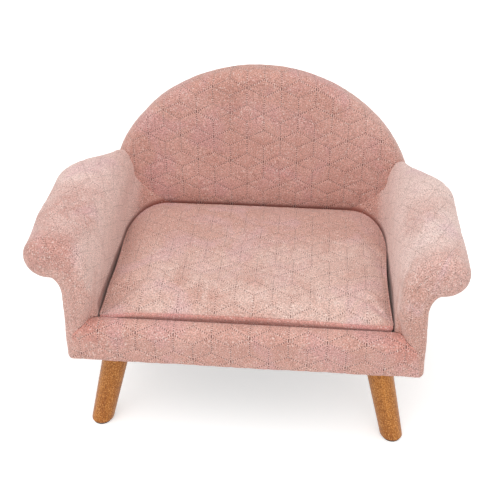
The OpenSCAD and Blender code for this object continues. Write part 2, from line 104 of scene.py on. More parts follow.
def stitch_gap(across, along):
    """Distance from a point of the flat cloth to the nearest stitched line. The lines are the edges of tumbling
    blocks: the cloth folds into one cell a column wide and three rises high, with two slants that meet at the odd
    column, an upright on the odd column, and one on the even column over the last third."""
    row = np.floor(along / (3 * RISE))
    height = along - 3 * RISE * row
    side = np.abs((across / COLUMN + row + 1) % 2 - 1) * COLUMN
    run = np.hypot(COLUMN, RISE)
    slant = np.abs(np.abs(height - RISE) - RISE * (1 - side / COLUMN)) * COLUMN / run
    even = np.hypot(side, np.maximum(2 * RISE - height, 0))
    return np.minimum(np.minimum(slant, even), COLUMN - side)


def quilting(across, along):
    """Height of the puffed cloth over the mean surface: it rises from a stitched line as one less an exponential of
    the distance."""
    return PUFF * (0.55 - np.exp(-stitch_gap(across, along) / PUFF_REACH))


def unit(vectors):
    """Vectors brought to length one."""
    return vectors / np.maximum(np.linalg.norm(vectors, axis=-1, keepdims=True), 1e-12)


def surface_normals(points, probe, way):
    """Unit normals of a grid: the cross product of its differences along rows and columns, turned so that the one at
    the probe's row and column points along the given way."""
    n = unit(np.cross(np.gradient(points, axis=0), np.gradient(points, axis=1)))
    return n * np.sign(n[probe] @ np.array(way))


def travel(points, axis=0):
    """Distance along a path, or along a grid's lines, from the start, summed from step to step."""
    steps = np.linalg.norm(np.diff(points, axis=axis), axis=-1)
    pad = [(0, 0)] * steps.ndim
    pad[axis] = (1, 0)
    return np.cumsum(np.pad(steps, pad), axis=axis)


def fall(share):
    """How far a quarter circle of radius 1 falls from its crest: 1 less the root of 1 less the share squared."""
    return 1 - np.sqrt(1 - share * share)


def quarter_sine(count):
    """The sine at even steps of a quarter turn, for points that crowd towards one end."""
    return np.sin(np.linspace(0, np.pi / 2, count))


def quarter_cosine(count):
    """The cosine at even steps of a quarter turn."""
    return np.cos(np.linspace(0, np.pi / 2, count))


def columns(*parts):
    """The parts, spread to one shape, as the last axis of one array."""
    return np.stack(np.broadcast_arrays(*parts), -1)


def part_ellipse(centre, radii, start, end, count):
    """Points on an ellipse from one angle to another, in degrees; radii may be columns, one row for each depth."""
    a = np.radians(np.linspace(start, end, count))
    return columns(centre[0] + radii[0] * np.cos(a), centre[1] + radii[1] * np.sin(a))


def part_circle(centre, radius, start, end, count):
    """Points on a circle from one angle to another, in degrees."""
    return part_ellipse(centre, (radius, radius), start, end, count)


def straight(start, end, count):
    """Points from start to end, with both ends; either may be a column of points."""
    t = np.linspace(0, 1, count)[:, None]
    start, end = np.asarray(start)[..., None, :], np.asarray(end)[..., None, :]
    return start + (end - start) * t


# Meshes


def new_mesh(name, points, faces):
    """A mesh from points and faces."""
    mesh = bpy.data.meshes.new(name)
    mesh.from_pydata(points, [], faces)
    return mesh


def show(name, data):
    """A new object that holds a mesh, lamp or camera, linked to the scene."""
    thing = bpy.data.objects.new(name, data)
    bpy.context.scene.collection.objects.link(thing)
    return thing


def points_of(mesh):
    """The places of a mesh's points, one row each."""
    places = np.empty(len(mesh.vertices) * 3)
    mesh.vertices.foreach_get("co", places)
    return places.reshape(-1, 3)


def grid_faces(shape, first):
    """The four-cornered faces of a grid of that shape, whose points are numbered from first."""
    index = first + np.arange(shape[0] * shape[1]).reshape(shape)
    return np.stack([index[:-1, :-1], index[1:, :-1], index[1:, 1:], index[:-1, 1:]], -1).reshape(-1, 4)


def mend(mesh, merge=True, slivers=False, fill_open=False):
    """Merges the points that lie on each other, drops slivers, closes open ends, and turns the faces outwards."""
    work = bmesh.new()
    work.from_mesh(mesh)
    if merge:
        bmesh.ops.remove_doubles(work, verts=work.verts, dist=0.01 * MM)
    if slivers:
        bmesh.ops.dissolve_degenerate(work, edges=work.edges, dist=0.001 * MM)
    if fill_open:
        filled = bmesh.ops.holes_fill(work, edges=[e for e in work.edges if e.is_boundary], sides=0)
        bmesh.ops.triangulate(work, faces=filled["faces"], ngon_method="EAR_CLIP")
    bmesh.ops.recalc_face_normals(work, faces=work.faces)
    work.to_mesh(mesh)
    work.free()


def make_piece(name, patches, material, replaced=(), body="sofa", fill_open=False):
    """Joins grids of (points, cloth) into one closed mesh: cloth holds metres across and along the flat fabric, and
    becomes the piece's own UV map, and a patch may name its material's number."""
    verts, faces, flat, kinds, base = [], [], [], [], 0
    for points, cloth, *kind in patches:
        shape = points.shape[:2]
        verts.append(points.reshape(-1, 3))
        flat.append(np.broadcast_to(cloth, (*shape, 2)).reshape(-1, 2))
        faces.append(grid_faces(shape, base))
        kinds.append(np.full(len(faces[-1]), kind[0] if kind else 0))
        base += shape[0] * shape[1]
    verts, flat, faces = np.concatenate(verts), np.concatenate(flat), np.concatenate(faces)
    mesh = new_mesh(name, verts, faces)
    layer = mesh.uv_layers.new(name="cloth")
    layer.data.foreach_set("uv", flat[faces.reshape(-1)].astype(np.float32).reshape(-1))
    mesh.polygons.foreach_set("material_index", np.concatenate(kinds).astype(np.int32))
    mend(mesh, slivers=True, fill_open=fill_open)
    mesh.polygons.foreach_set("use_smooth", [True] * len(mesh.polygons))
    piece = show(name, mesh)
    for one in material if isinstance(material, tuple) else (material,):
        mesh.materials.append(one)
    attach(piece, body)
    if replaced:
        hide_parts(*replaced)
    return piece


def in_place(x, depth, height):
    """Points of the frame from x, depth and height, counted from its own front face and underside."""
    return columns(x, FRONT_Y + depth, BASE_Z + height)


def tube(path, radius, sides, closed, square_to):
    """A round welt along a path that is everywhere square to one axis: circles made from that axis and the one
    square to both it and the path's direction. Returns a grid."""
    if closed:
        path = np.vstack([path, path[:1]])
        ahead = np.roll(path[:-1], -1, 0) - np.roll(path[:-1], 1, 0)
        ahead = np.vstack([ahead, ahead[:1]])
    else:
        ahead = np.gradient(path, axis=0)
    ahead = unit(ahead)
    side = unit(np.cross(ahead, square_to))
    other = np.cross(side, ahead)
    a = np.linspace(0, 2 * np.pi, sides + 1)[None, :, None]
    ring = path[:, None] + radius * (np.cos(a) * side[:, None] + np.sin(a) * other[:, None])
    cloth = columns(travel(path)[:, None], radius * a[..., 0])
    return ring, cloth


# Soft filling

BILLOW_FRAMES = 20


def halfway(coarse):
    """A grid twice as fine: the old points and the means of their neighbours."""
    fine = np.zeros((2 * coarse.shape[0] - 1, 2 * coarse.shape[1] - 1, coarse.shape[2]))
    fine[::2, ::2] = coarse
    fine[1::2, ::2] = (coarse[:-1] + coarse[1:]) / 2
    fine[:, 1::2] = (fine[:, :-2:2] + fine[:, 2::2]) / 2
    return fine


def billow(grids, held, pressure, cap):
    """Blows the closed cloth that the grids make up from inside, as its filling does: a cloth simulation of every
    second row and column, without gravity. held is 1 where a grid is sewn down. The way that a point
    moves is shortened to the cap, and halfway points take their neighbours' mean."""
    parts, faces, base = [grid[::2, ::2] for grid in grids], [], 0
    for part in parts:
        faces.append(grid_faces(part.shape[:2], base))
        base += part.shape[0] * part.shape[1]
    points = np.concatenate([part.reshape(-1, 3) for part in parts])
    key, same = np.unique(np.round(points / (0.01 * MM)).astype(np.int64), axis=0, return_inverse=True)
    same = same.reshape(-1)
    start = np.zeros((len(key), 3))
    start[same] = points
    fixed = np.zeros(len(key))
    pinned = [np.broadcast_to(h, g.shape[:2])[::2, ::2].reshape(-1) for h, g in zip(held, grids)]
    np.maximum.at(fixed, same, np.concatenate(pinned))
    cloth = show("slack_cloth", new_mesh("slack_cloth", start, same[np.concatenate(faces)]))
    mend(cloth.data, merge=False)
    sewn = cloth.vertex_groups.new(name="sewn")
    sewn.add(np.flatnonzero(fixed > 0.5).tolist(), 1.0, "REPLACE")
    blown = cloth.modifiers.new("filling", "CLOTH")
    rules = blown.settings
    rules.quality, rules.mass, rules.vertex_group_mass = 6, 0.3, "sewn"
    rules.tension_stiffness = rules.compression_stiffness = 25
    rules.shear_stiffness, rules.bending_stiffness = 12, 1.5
    rules.use_pressure, rules.uniform_pressure_force = True, pressure
    rules.effector_weights.gravity = 0
    blown.collision_settings.use_collision = False
    blown.point_cache.frame_end = BILLOW_FRAMES
    for frame_number in range(1, BILLOW_FRAMES + 1):
        bpy.context.scene.frame_set(frame_number)
    way = points_of(cloth.evaluated_get(bpy.context.evaluated_depsgraph_get()).data) - start
    bpy.context.scene.frame_set(1)
    bpy.data.objects.remove(cloth)
    length = np.linalg.norm(way, axis=1, keepdims=True)
    way *= cap * np.tanh(length / cap) / np.maximum(length, 1e-9)
    moved, first = [], 0
    for grid, part in zip(grids, parts):
        count = part.shape[0] * part.shape[1]
        moved.append(grid + halfway(way[same[first : first + count]].reshape(part.shape)))
        first += count
    return moved


# Arms

SHOULDER_H = 145 * MM
ROLL_X, ROLL_H = 268 * MM, 175 * MM
ROLL_RX, ROLL_RH = 34 * MM, 32 * MM
THROAT_H = 118 * MM
WALL_X = 253 * MM
OVER_H, HOLLOW_H = 62 * MM, 25 * MM  # rise of the roll's top over the shoulder, and of the hollow under it
SIDE_N, OVER_N, OUTER_N, FOOT_N, WALL_N = 60, 39, 24, 6, 61  # points on each stretch of the arm's section
ARM_LIFT = 0.6 * MM  # how far the arms' undersides stand above the others, so that no two lie in one plane
REACH_OUT, REACH_UP = 6 * MM, 3 * MM  # how much further the left roll stands out and up
ON_RAIL, CLEAR_OF_RAIL = 56 * MM, 112 * MM  # heights between which the arm's front end leaves the rail's form


def edge_inset(depth, radius):
    """How far an edge of that radius is drawn in at a depth: a quarter circle's fall."""
    return radius * fall(np.clip((radius - depth) / radius, 0, 1))


def low_set_back(depth):
    """How far the arm's front end stands back of the front face where it stands on the rail."""
    return 4.2 * MM * (1 - soft_step(depth, 0, 30 * MM))


def nose_inset(depth, height):
    """How far the arm's front end is drawn in at a depth: a quarter round 18 mm deep, which turns, down where the
    arm stands on the front rail, into a broad bevel that ends in a small step, given by points of depth and inset."""
    low = 1 - soft_step(height, 60 * MM, CLEAR_OF_RAIL)
    round_inset = edge_inset(depth, NOSE_R)
    bevel_depth = np.array([4.2, 5.5, 8.5, 12.8, 17.3, 21.6, 24.0, 25.6, 27.5]) * MM
    bevel_inset = np.array([23.5, 20.5, 16.8, 14.3, 12.0, 10.0, 7.5, 2.0, 0.0]) * MM
    bevel = np.interp(depth + low_set_back(depth), bevel_depth, bevel_inset)
    return round_inset + (bevel - round_inset) * low


def arm_chains(depth):
    """The arm's section at each depth, as two chains of x and height from the underside up to the roll's outermost
    point. The seat chain climbs the seat side and goes over the top in a quarter ellipse; the wall chain climbs the
    outer wall, the hollow under the roll and the roll's lower half. Both fade from the full roll to the slimmer
    section at the back by a share that falls as a half cosine."""
    u = depth[:, None]
    nose, edge = nose_inset(u, 1.0), edge_inset(u, EDGE_R)
    heights = np.linspace(0, SHOULDER_H, SIDE_N)[None, :-1]
    side = columns(SEAT_HALF + nose_inset(u, heights), heights)
    over = part_ellipse((ROLL_X, SHOULDER_H), (ROLL_X - SEAT_HALF - nose, OVER_H - nose), 180, 90, OVER_N)[:, :-1]
    roll = (ROLL_X, ROLL_H), (ROLL_RX - nose, ROLL_RH - nose)
    outer = part_ellipse(*roll, 90, 0, OUTER_N)
    seat = np.concatenate([side, over, outer], 1)
    foot = part_circle((HALF_WIDTH - BOTTOM_R - edge, BOTTOM_R), BOTTOM_R, -90, 0, FOOT_N)[:, :-1]
    ends = ((HALF_WIDTH - edge, BOTTOM_R), (WALL_X - edge, THROAT_H))
    wall = straight(*(columns(*end)[:, 0] for end in ends), WALL_N)[:, :-1]
    throat = part_ellipse((ROLL_X, THROAT_H), (ROLL_X - WALL_X + edge, HOLLOW_H + nose), 180, 90, 21)[:, :-1]
    under = part_ellipse(*roll, -90, 0, 36)
    wall_full = np.concatenate([np.broadcast_to(foot, (len(depth), FOOT_N - 1, 2)), wall, throat, under], 1)

    # the slim section: its top, where its seat side and outer side turn over, and where its wall bends in
    ridge, seat_turn, outer_turn, bend = 236 * MM, 123 * MM, 151 * MM, (255 * MM, 94 * MM)
    rear_side = straight((SEAT_HALF, 0), (SEAT_HALF, seat_turn), SIDE_N)[:-1]
    rear_over = part_ellipse((ridge, seat_turn), (ridge - SEAT_HALF, 53 * MM), 180, 90, OVER_N)[:-1]
    rear_outer = part_ellipse((ridge, outer_turn), (12 * MM, 25 * MM), 90, 0, OUTER_N)
    seat_rear = np.concatenate([rear_side, rear_over, rear_outer])
    rear_foot = part_circle((HALF_WIDTH - BOTTOM_R, BOTTOM_R), BOTTOM_R, -90, 0, FOOT_N)[:-1]
    rear_wall = straight((HALF_WIDTH, BOTTOM_R), bend, WALL_N)[:-1]
    rear_upper = straight(bend, (ridge + 12 * MM, outer_turn), throat.shape[1] + under.shape[1])
    wall_rear = np.concatenate([rear_foot, rear_wall, rear_upper])

    t = np.clip((u - ROLL_LENGTH) / (ARM_DEPTH - ROLL_LENGTH), 0, 1)[..., None]
    share = ((1 + np.cos(np.pi * t)) / 2) ** 0.85
    seat, wall_full = seat_rear + (seat - seat_rear) * share, wall_rear + (wall_full - wall_rear) * share
    fill = CORNER_W * fall(np.clip((u - ARM_DEPTH + CORNER_D) / CORNER_D, 0, 1))
    lower = np.clip((seat[..., 1] - BASE_H) / CORNER_FADE_H, 0, 1)
    seat[..., 0] -= fill * (1 + np.cos(np.pi * lower)) / 2
    return seat, wall_full


def arm_creases(places, side):
    """Shallow creases that the cloth of the roll shows where it was pulled over: narrow bell-shaped hollows along
    lines across the arm, each bent by a slow sine, and fading out down both sides. A pull gives the line's depth in
    millimetres, its slant, and the hollow's depth and width in millimetres."""
    x, depth, height = np.abs(places[..., 0]), places[..., 1] - FRONT_Y, places[..., 2] - BASE_Z
    on_top = soft_step(height, 120 * MM, 190 * MM) * soft_step(x, 222 * MM, 250 * MM)
    dent = 0
    left_pulls = ((232, 0.5, 1.1, 5), (140, -0.2, 0.7, 5), (88, 0.4, 0.7, 6))
    right_pulls = ((175, 0.1, 1.5, 5), (116, -0.15, 1.2, 5.5), (205, 0.3, 0.9, 5), (262, -0.3, 0.7, 5))
    pulls = left_pulls if side < 0 else right_pulls
    for place, slant, deep, wide in pulls:
        line = place * MM + slant * (x - 0.25) + 4 * MM * np.sin((x - 0.2) * 90 + place * side)
        dent = dent + deep * MM * np.exp(-(((depth - line) / (wide * MM)) ** 2))
    return -dent * on_top


def foot_rounded(points):
    """Rounds an arm's lower front and outer edges: a point nearer to two of the faces than the radius is drawn to
    a circle of that radius."""
    r = BOTTOM_R
    up = np.clip(BASE_Z + r - points[..., 2], 0, r)
    forward = np.clip(FRONT_Y + r - points[..., 1], 0, r)
    outward = np.clip(np.abs(points[..., 0]) - (HALF_WIDTH - r), 0, r)
    drawn = np.minimum(r / np.maximum(np.hypot(up, np.maximum(forward, outward)), r), 1)
    x = np.sign(points[..., 0]) * (np.abs(points[..., 0]) - outward * (1 - drawn))
    return np.stack([x, points[..., 1] + forward * (1 - drawn), points[..., 2] + up * (1 - drawn)], -1)


def make_arm(side, name, node, material):
    """One padded arm: its skin along the depth, the front end between the two chains, the underside and the rear
    end. The cloth runs up the seat side, over the roll and round the nose without a break; the seam is on the outer
    front edge."""
    nose = 30 * MM * (1 - quarter_cosine(25))
    corner = ARM_DEPTH - CORNER_D * (1 - quarter_sine(50))
    body = np.concatenate([nose, np.linspace(32.4 * MM, ARM_DEPTH - CORNER_D, 76)[:-1], corner])
    seat, wall = arm_chains(body)
    if side < 0:
        full = soft_step(body, 20 * MM, 110 * MM) * (1 - soft_step(body, 250 * MM, 330 * MM))
        to_rear = soft_step(body, 150 * MM, 260 * MM)
        for chain in (seat, wall):
            high = soft_step(chain[..., 1], 110 * MM, 185 * MM)
            chain[..., 0] += REACH_OUT * full[:, None] * high * soft_step(chain[..., 0], 225 * MM, 270 * MM)
            chain[..., 1] += REACH_UP * to_rear[:, None] * high
    # the rear end, whose ridge dips as it runs into the back's padding
    tail = ARM_DEPTH + np.array([5, 10, 16]) * MM
    depth = np.concatenate([body, tail])
    seat, wall = (np.concatenate([chain, np.repeat(chain[-1:], 3, 0)]) for chain in (seat, wall))
    into = fall(np.clip((depth - ARM_DEPTH + 14 * MM) / (30 * MM), 0, 1))[:, None]
    for chain in (seat, wall):
        raised = into * soft_step(chain[..., 1], 90 * MM, 176 * MM)
        chain[..., 1] -= 30 * MM * raised
        chain[..., 0] -= 16 * MM * raised * soft_step(chain[..., 0], SEAT_HALF, 236 * MM)
    set_back = low_set_back(depth)[:, None] * (1 - soft_step(seat[..., 1], ON_RAIL, CLEAR_OF_RAIL))
    near_nose = 1 - soft_step(depth, 0, 20 * MM)
    edge_back = 1.2 * MM * (1 - soft_step(wall[..., 1], 40 * MM, 100 * MM)) * near_nose[:, None]
    seat = in_place(side * seat[..., 0], depth[:, None] + set_back, np.maximum(seat[..., 1], ARM_LIFT))
    wall = in_place(side * wall[..., 0], depth[:, None] + edge_back, np.maximum(wall[..., 1], ARM_LIFT))
    rows, count = seat.shape[:2]

    # the front end: straight lines from the seat chain to the wall chain, domed forward
    share = np.linspace(0, 1, 26)[:, None, None]
    front = seat[None, 0] + (wall[None, 0] - seat[None, 0]) * share
    wide = np.linalg.norm(wall[0] - seat[0], axis=-1)
    front[..., 1] -= 2.6 * MM * np.minimum(wide / (40 * MM), 1) * (1 - (2 * share[..., 0] - 1) ** 2)
    rear = seat[None, -1] + (wall[None, -1] - seat[None, -1]) * share
    under = seat[:, :1] + (wall[:, :1] - seat[:, :1]) * share[:, :, 0].T[..., None]
    ring = np.concatenate([seat, wall[:, -2::-1]], 1)
    ring, front, rear, under = (foot_rounded(grid) for grid in (ring, front, rear, under))
    # the cloth is measured along the shoulder's line and the middle ring, from where the photograph shows a block
    shoulder, midway = SIDE_N, 60
    first_across, first_along = (3 * MM, 50 * MM) if side > 0 else (24 * MM, 41 * MM)
    across = travel(ring, 0)[:, shoulder : shoulder + 1] * np.ones(ring.shape[1]) - first_across
    along = travel(ring[midway : midway + 1], 1) * np.ones((rows, 1)) - first_along
    ring_cloth = np.stack([across, along], -1)
    front_cloth = columns(-share[..., 0] * wide - first_across, along[:1, :count])

    # normals, made one along the nose, where ring and front end meet
    ring_out = surface_normals(ring, (40, 30), (-side, 0, 0))
    front_out = surface_normals(front, (12, 40), (0, -1, 0))
    ring_out[0, :count] = front_out[0] = unit(ring_out[0, :count] + front_out[0])

    # puffed cloth and creases, none on the seam of the outer front edge nor on the underside
    place = np.arange(ring.shape[1])
    ring_seam = travel(ring, 0) + np.concatenate([wide, np.zeros(len(place) - count)])
    front_seam = (1 - share[..., 0]) * wide
    above = (soft_step(np.minimum(place, place[::-1]), 0, 5), soft_step(place[:count], 0, 5))

    def raised_cloth(grid, out, grid_cloth, to_seam, clear, dents):
        """The grid moved along its normals by puff, creases and swell, and drawn in as a bell at the seam."""
        lift = 0.4 * quilting(*np.moveaxis(grid_cloth, -1, 0)) + dents + 0.7 * MM * swell(grid, 70 * MM, 5 + side)
        lift -= 1.3 * MM * np.exp(-((to_seam / (3 * MM)) ** 2))
        return grid + out * (lift * soft_step(to_seam, 0, 9 * MM) * clear)[..., None]

    ring = raised_cloth(ring, ring_out, ring_cloth, ring_seam, above[0], arm_creases(ring, side))
    front = raised_cloth(front, front_out, front_cloth, front_seam, above[1], 0)
    hidden = [(rear, np.zeros(2)), (under, np.stack([under[..., 1], under[..., 0]], -1))]
    make_piece(name, [(ring, ring_cloth), (front, front_cloth), *hidden], material, [node])


def make_arm_post(side, node, material):
    """The plywood former at the arm's front, from the frame, with its seat-side front corner planed off above the
    rail, under the cover's bevel: the board less a wedge of four plan points between two heights."""
    plan = np.array([[219, 6], [236, 6], [225, 22], [219, 22]]) * MM
    levels = np.array([[58], [210]]) * MM
    points = in_place(side * plan[None, :, 0], plan[None, :, 1], levels).reshape(-1, 3)
    sides = [[i, (i + 1) % 4, (i + 1) % 4 + 4, i + 4] for i in range(4)]
    wedge = show("planed_corner", new_mesh("planed_corner", points, [[3, 2, 1, 0], [4, 5, 6, 7], *sides]))
    post = show(node + "_planed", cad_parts[node].data.copy())
    for piece in (post, wedge):
        mend(piece.data)
    cut = post.modifiers.new("planed_corner", "BOOLEAN")
    cut.operation, cut.object, cut.solver = "DIFFERENCE", wedge, "EXACT"
    post.data = bpy.data.meshes.new_from_object(post.evaluated_get(bpy.context.evaluated_depsgraph_get()))
    post.modifiers.clear()
    bpy.data.objects.remove(wedge)
    post.data.materials.clear()
    post.data.materials.append(material)
    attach(post, "sofa")
    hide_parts(node)


# Front rail

RAIL_LIFT = 0.3 * MM  # its underside stands between the dust cover's and the arms'


def rail_end(height):
    """x of the rail cover's end: 249 mm at the top, and further out below, as the seam runs to the bottom corner."""
    return (249 + 5.5 * soft_step(47 * MM - height, -5 * MM, 47 * MM)) * MM


def make_front_rail(material):
    """The padded front rail: a closed profile of depth and height carried across the width, with its two ends drawn
    in round a small edge where the arm's cover meets it."""
    top = straight((FRONT_T, BASE_H), (NOSE_R, BASE_H), 5)[:-1]
    nose = part_circle((NOSE_R, BASE_H - NOSE_R), NOSE_R, 90, 180, 17)[:-1]
    face = straight((0, BASE_H - NOSE_R), (0, BOTTOM_R), 24)[:-1]
    foot = part_circle((BOTTOM_R, BOTTOM_R), BOTTOM_R, 180, 270, 7)[:-1]
    under = straight((BOTTOM_R, 0), (FRONT_T, 0), 10)[:-1]
    back = straight((FRONT_T, 0), (FRONT_T, BASE_H), 12)
    profile = np.concatenate([top, nose, face, foot, under, back])
    down = travel(profile)
    first_of_face = len(top) + len(nose)
    t = np.linspace(-1, 1, 262)
    t = t + 0.02 * np.sin(np.pi * t)
    depth, height = profile[None, :, 0], profile[None, :, 1]
    x = t[:, None] * rail_end(height)
    from_end = rail_end(height) - np.abs(x)
    depth = depth + edge_inset(from_end, 4.5 * MM) * (1 - depth / FRONT_T)
    points = in_place(x, depth, np.maximum(height, RAIL_LIFT))
    along = BASE_H - NOSE_R - (down - down[first_of_face])
    cloth = columns(x - 37.3 * MM, along[None] - 43.3 * MM)
    out = surface_normals(points, (130, first_of_face + 8), (0, -1, 0))
    rear_foot = down[-len(back) - 1]
    shown = soft_step(down, 2 * MM, 8 * MM) * (1 - soft_step(down, rear_foot - 12 * MM, rear_foot - 6 * MM))
    lift = quilting(cloth[..., 0], cloth[..., 1]) + 0.5 * MM * swell(points, 60 * MM, 3)
    points = points + out * (lift * shown[None] * soft_step(from_end, 0, 6 * MM))[..., None]
    points[:, -1] = points[:, 0]
    patches = [(points, cloth)]
    make_piece("front_rail_skin", patches, material, ["front_rail_cover"], fill_open=True)


def make_mitre_seams(material):
    """The sunk seams where the rail's cover meets each arm's: a thin round cord of dark thread, darkened also as
    painted shade of the sunk seam, carried along the seam's points on the rail, from the seat's corner over the
    rounded edge and down the front."""
    line = np.array([
        [213.5, 26.5, 63.6], [218, 25.4, 63.9], [222, 24, 63.9], [224, 21.6, 63.9], [226, 17.3, 63.8],
        [228.3, 12.8, 63.0], [230.8, 8.7, 61.2], [233.6, 6.2, 59.6], [236.7, 4.7, 57.9], [240.6, 3.9, 57.0],
        [244.4, 3.4, 55.9], [246.9, 2.2, 53.6], [248.6, 1.1, 49.5],
    ]) * MM
    place = np.linspace(0, len(line) - 1, 60)
    line = np.stack([np.interp(place, np.arange(len(line)), axis) for axis in line.T], -1)
    for side, name in ((-1, "left_mitre_seam_shade"), (1, "right_mitre_seam_shade")):
        path = in_place(side * line[:, 0], line[:, 1], line[:, 2])
        make_piece(name, [tube(path, 0.75 * MM, 8, False, (0, 0.35, 1))], material, fill_open=True)


# Back

BACK_LIFT = 1 * MM  # its underside, and the rear panel's and welt's, stand above the arms'
PANEL_LIFT = 2 * MM
WELT_LIFT = 3 * MM


def lifted(height, lift):
    """Heights of the back's outline with its foot raised by lift and its crest kept."""
    return lift + height * (1 - lift / (BACK_R + BACK_CENTRE_H))


def back_outline(inset, legs, arc):
    """The half-round back's outline drawn in by inset: up the left side, round the half circle, down the right."""
    r = (BACK_R - inset)[:, None]
    up = np.linspace(0, BACK_CENTRE_H, legs)[None, :-1]
    a = np.linspace(np.pi, 0, arc)[None]
    x = np.concatenate([-r * np.ones_like(up), r * np.cos(a), r * np.ones_like(up)], 1)
    h = np.concatenate([up * np.ones_like(r), BACK_CENTRE_H + r * np.sin(a), up[:, ::-1] * np.ones_like(r)], 1)
    return x, h


def make_back(material):
    """The padded back: rings drawn in from the outline, from the middle of the front face over the rounded rim to
    the seam of the rear panel, then in behind that panel."""
    face_in = np.linspace(BACK_R, BACK_FRONT_R, 98)[:-1]
    face = np.stack([face_in, np.full_like(face_in, ARM_DEPTH)], -1)
    rim = part_circle((BACK_FRONT_R, ARM_DEPTH + BACK_FRONT_R), BACK_FRONT_R, 270, 180, 17)[:-1]
    side = straight((0, ARM_DEPTH + BACK_FRONT_R), (0, BODY_DEPTH - BACK_REAR_R), 6)[:-1]
    turn = part_circle((BACK_REAR_R, BODY_DEPTH - BACK_REAR_R), BACK_REAR_R, 180, 90, 12)[:-1]
    # in over the rear panel's edge, and flat behind it to the middle
    tuck = np.array([[14, 374], [15.5, 372.5], [16, 368], [17, 362], [60, 361], [140, 361], [264, 361]]) * MM
    profile = np.concatenate([face, rim, side, turn, tuck])
    inset, depth = profile[:, 0], profile[:, 1]
    x, height = back_outline(inset, 24, 340)
    round_run = travel(profile)
    shell = in_place(x, depth[:, None], np.maximum(height, BACK_LIFT))
    # the seat side is crowned a little and softly uneven, but pressed flat behind the cushion
    facing = (depth < ARM_DEPTH + 1 * MM)[:, None]
    pressed = facing * (1 - soft_step(height, 62 * MM, 105 * MM))
    shell[..., 1] -= 3.5 * MM * soft_step(inset, 8 * MM, 110 * MM)[:, None] * facing * (1 - pressed)
    cloth = np.stack([x - 6.8 * MM, height - 20 * MM], -1)
    beyond = np.maximum(round_run - round_run[len(face)], 0)[:, None]
    away = np.stack([x, height - BACK_CENTRE_H], -1)
    away[..., 1] = np.maximum(away[..., 1], 0)
    fold_out = np.where(beyond > 0, np.maximum(beyond - (BACK_FRONT_R - inset[:, None]), 0), 0)
    cloth = cloth + unit(away) * fold_out[..., None]
    out = surface_normals(shell, (60, 190), (0, -1, 0))
    out[:3] = [0, -1, 0]
    seam = round_run[-len(tuck)]
    shown = 1 - soft_step(round_run, seam - 6 * MM, seam)
    plain = 1 - 0.35 * soft_step(beyond, 0, 20 * MM)
    hem = soft_step(height, 2 * MM, 11 * MM)
    lift = quilting(cloth[..., 0], cloth[..., 1]) * plain + 0.8 * MM * swell(shell, 80 * MM, 11)
    lift = (lift * (1 - 0.75 * pressed) - 0.5 * MM * pressed) * shown[:, None] * hem
    shell = shell + out * lift[..., None]
    make_piece("back_skin", [(shell, cloth)], material, ["back_cover"], fill_open=True)


def make_rear_panel(material, welt_material):
    """The rear panel inside the back's rounded rear edge: a flat pillow with a soft edge, and a welt round it."""
    edge = 14.6 * MM
    front_in = np.array([264, 140, 60, 20, 15]) * MM
    front = np.stack([front_in, np.full_like(front_in, BACK_BOARD_REAR + 1.5 * MM)], -1)
    turn = part_ellipse((edge + 4 * MM, BODY_DEPTH - 3.5 * MM), (4 * MM, 3.5 * MM), 180, 90, 7)
    rear_in = np.linspace(edge + 6.5 * MM, BACK_R, 96)
    rear = np.stack([rear_in, np.full_like(rear_in, BODY_DEPTH)], -1)
    profile = np.concatenate([front, [[edge, BACK_BOARD_REAR + 3 * MM]], turn, rear])
    inset, depth = profile[:, 0], profile[:, 1]
    x, height = back_outline(inset, 24, 300)
    height = lifted(height, PANEL_LIFT)
    shell = in_place(x, depth[:, None], height)
    cloth = np.stack([x + 6.8 * MM, height - 30 * MM], -1)
    to_rear = (np.arange(len(inset)) > len(front) + 6) * soft_step(inset, edge, 60 * MM)
    puffed = 1.8 * MM + quilting(cloth[..., 0], cloth[..., 1])
    shell[..., 1] += to_rear[:, None] * puffed * soft_step(height, PANEL_LIFT, 12 * MM)
    make_piece("rear_panel_skin", [(shell, cloth)], material, ["back_rear_panel"], fill_open=True)
    x, height = back_outline(np.array([14.3 * MM]), 16, 200)
    line = in_place(x[0], BODY_DEPTH - 0.4 * MM, lifted(height[0], WELT_LIFT))
    make_piece("rear_panel_welt", [tube(line, 2 * MM, 10, False, (0, 1, 0))], welt_material, fill_open=True)


# Cushion

CUSHION_HALF = 212.5 * MM
CUSHION_FRONT = 27.5 * MM
CUSHION_REAR = 328.5 * MM
CUSHION_LOW = 24.3 * MM
SEAM_H = 76 * MM
CROWN = 17 * MM
SIDE_DRAW = 4.2 * MM
CUSHION_LENGTH = CUSHION_REAR - CUSHION_FRONT
CUSHION_MIDDLE = (CUSHION_FRONT + CUSHION_REAR) / 2
FRONT_CORNER_R = 4 * MM
SLACK, BILLOW_CAP = 0.72, 6.5 * MM  # the share of the crown that is sewn in, and the most that filling adds
SIDE_GIVE, EDGE_GIVE, TOP_RISE = 2 * MM, 0.8 * MM, 9 * MM  # how far filling may push the top, its edge, and up
PLACKET_DEPTH = 5.2 * MM
ZIP_H = (CUSHION_LOW + SEAM_H) / 2
ZIP_HALF = 120 * MM


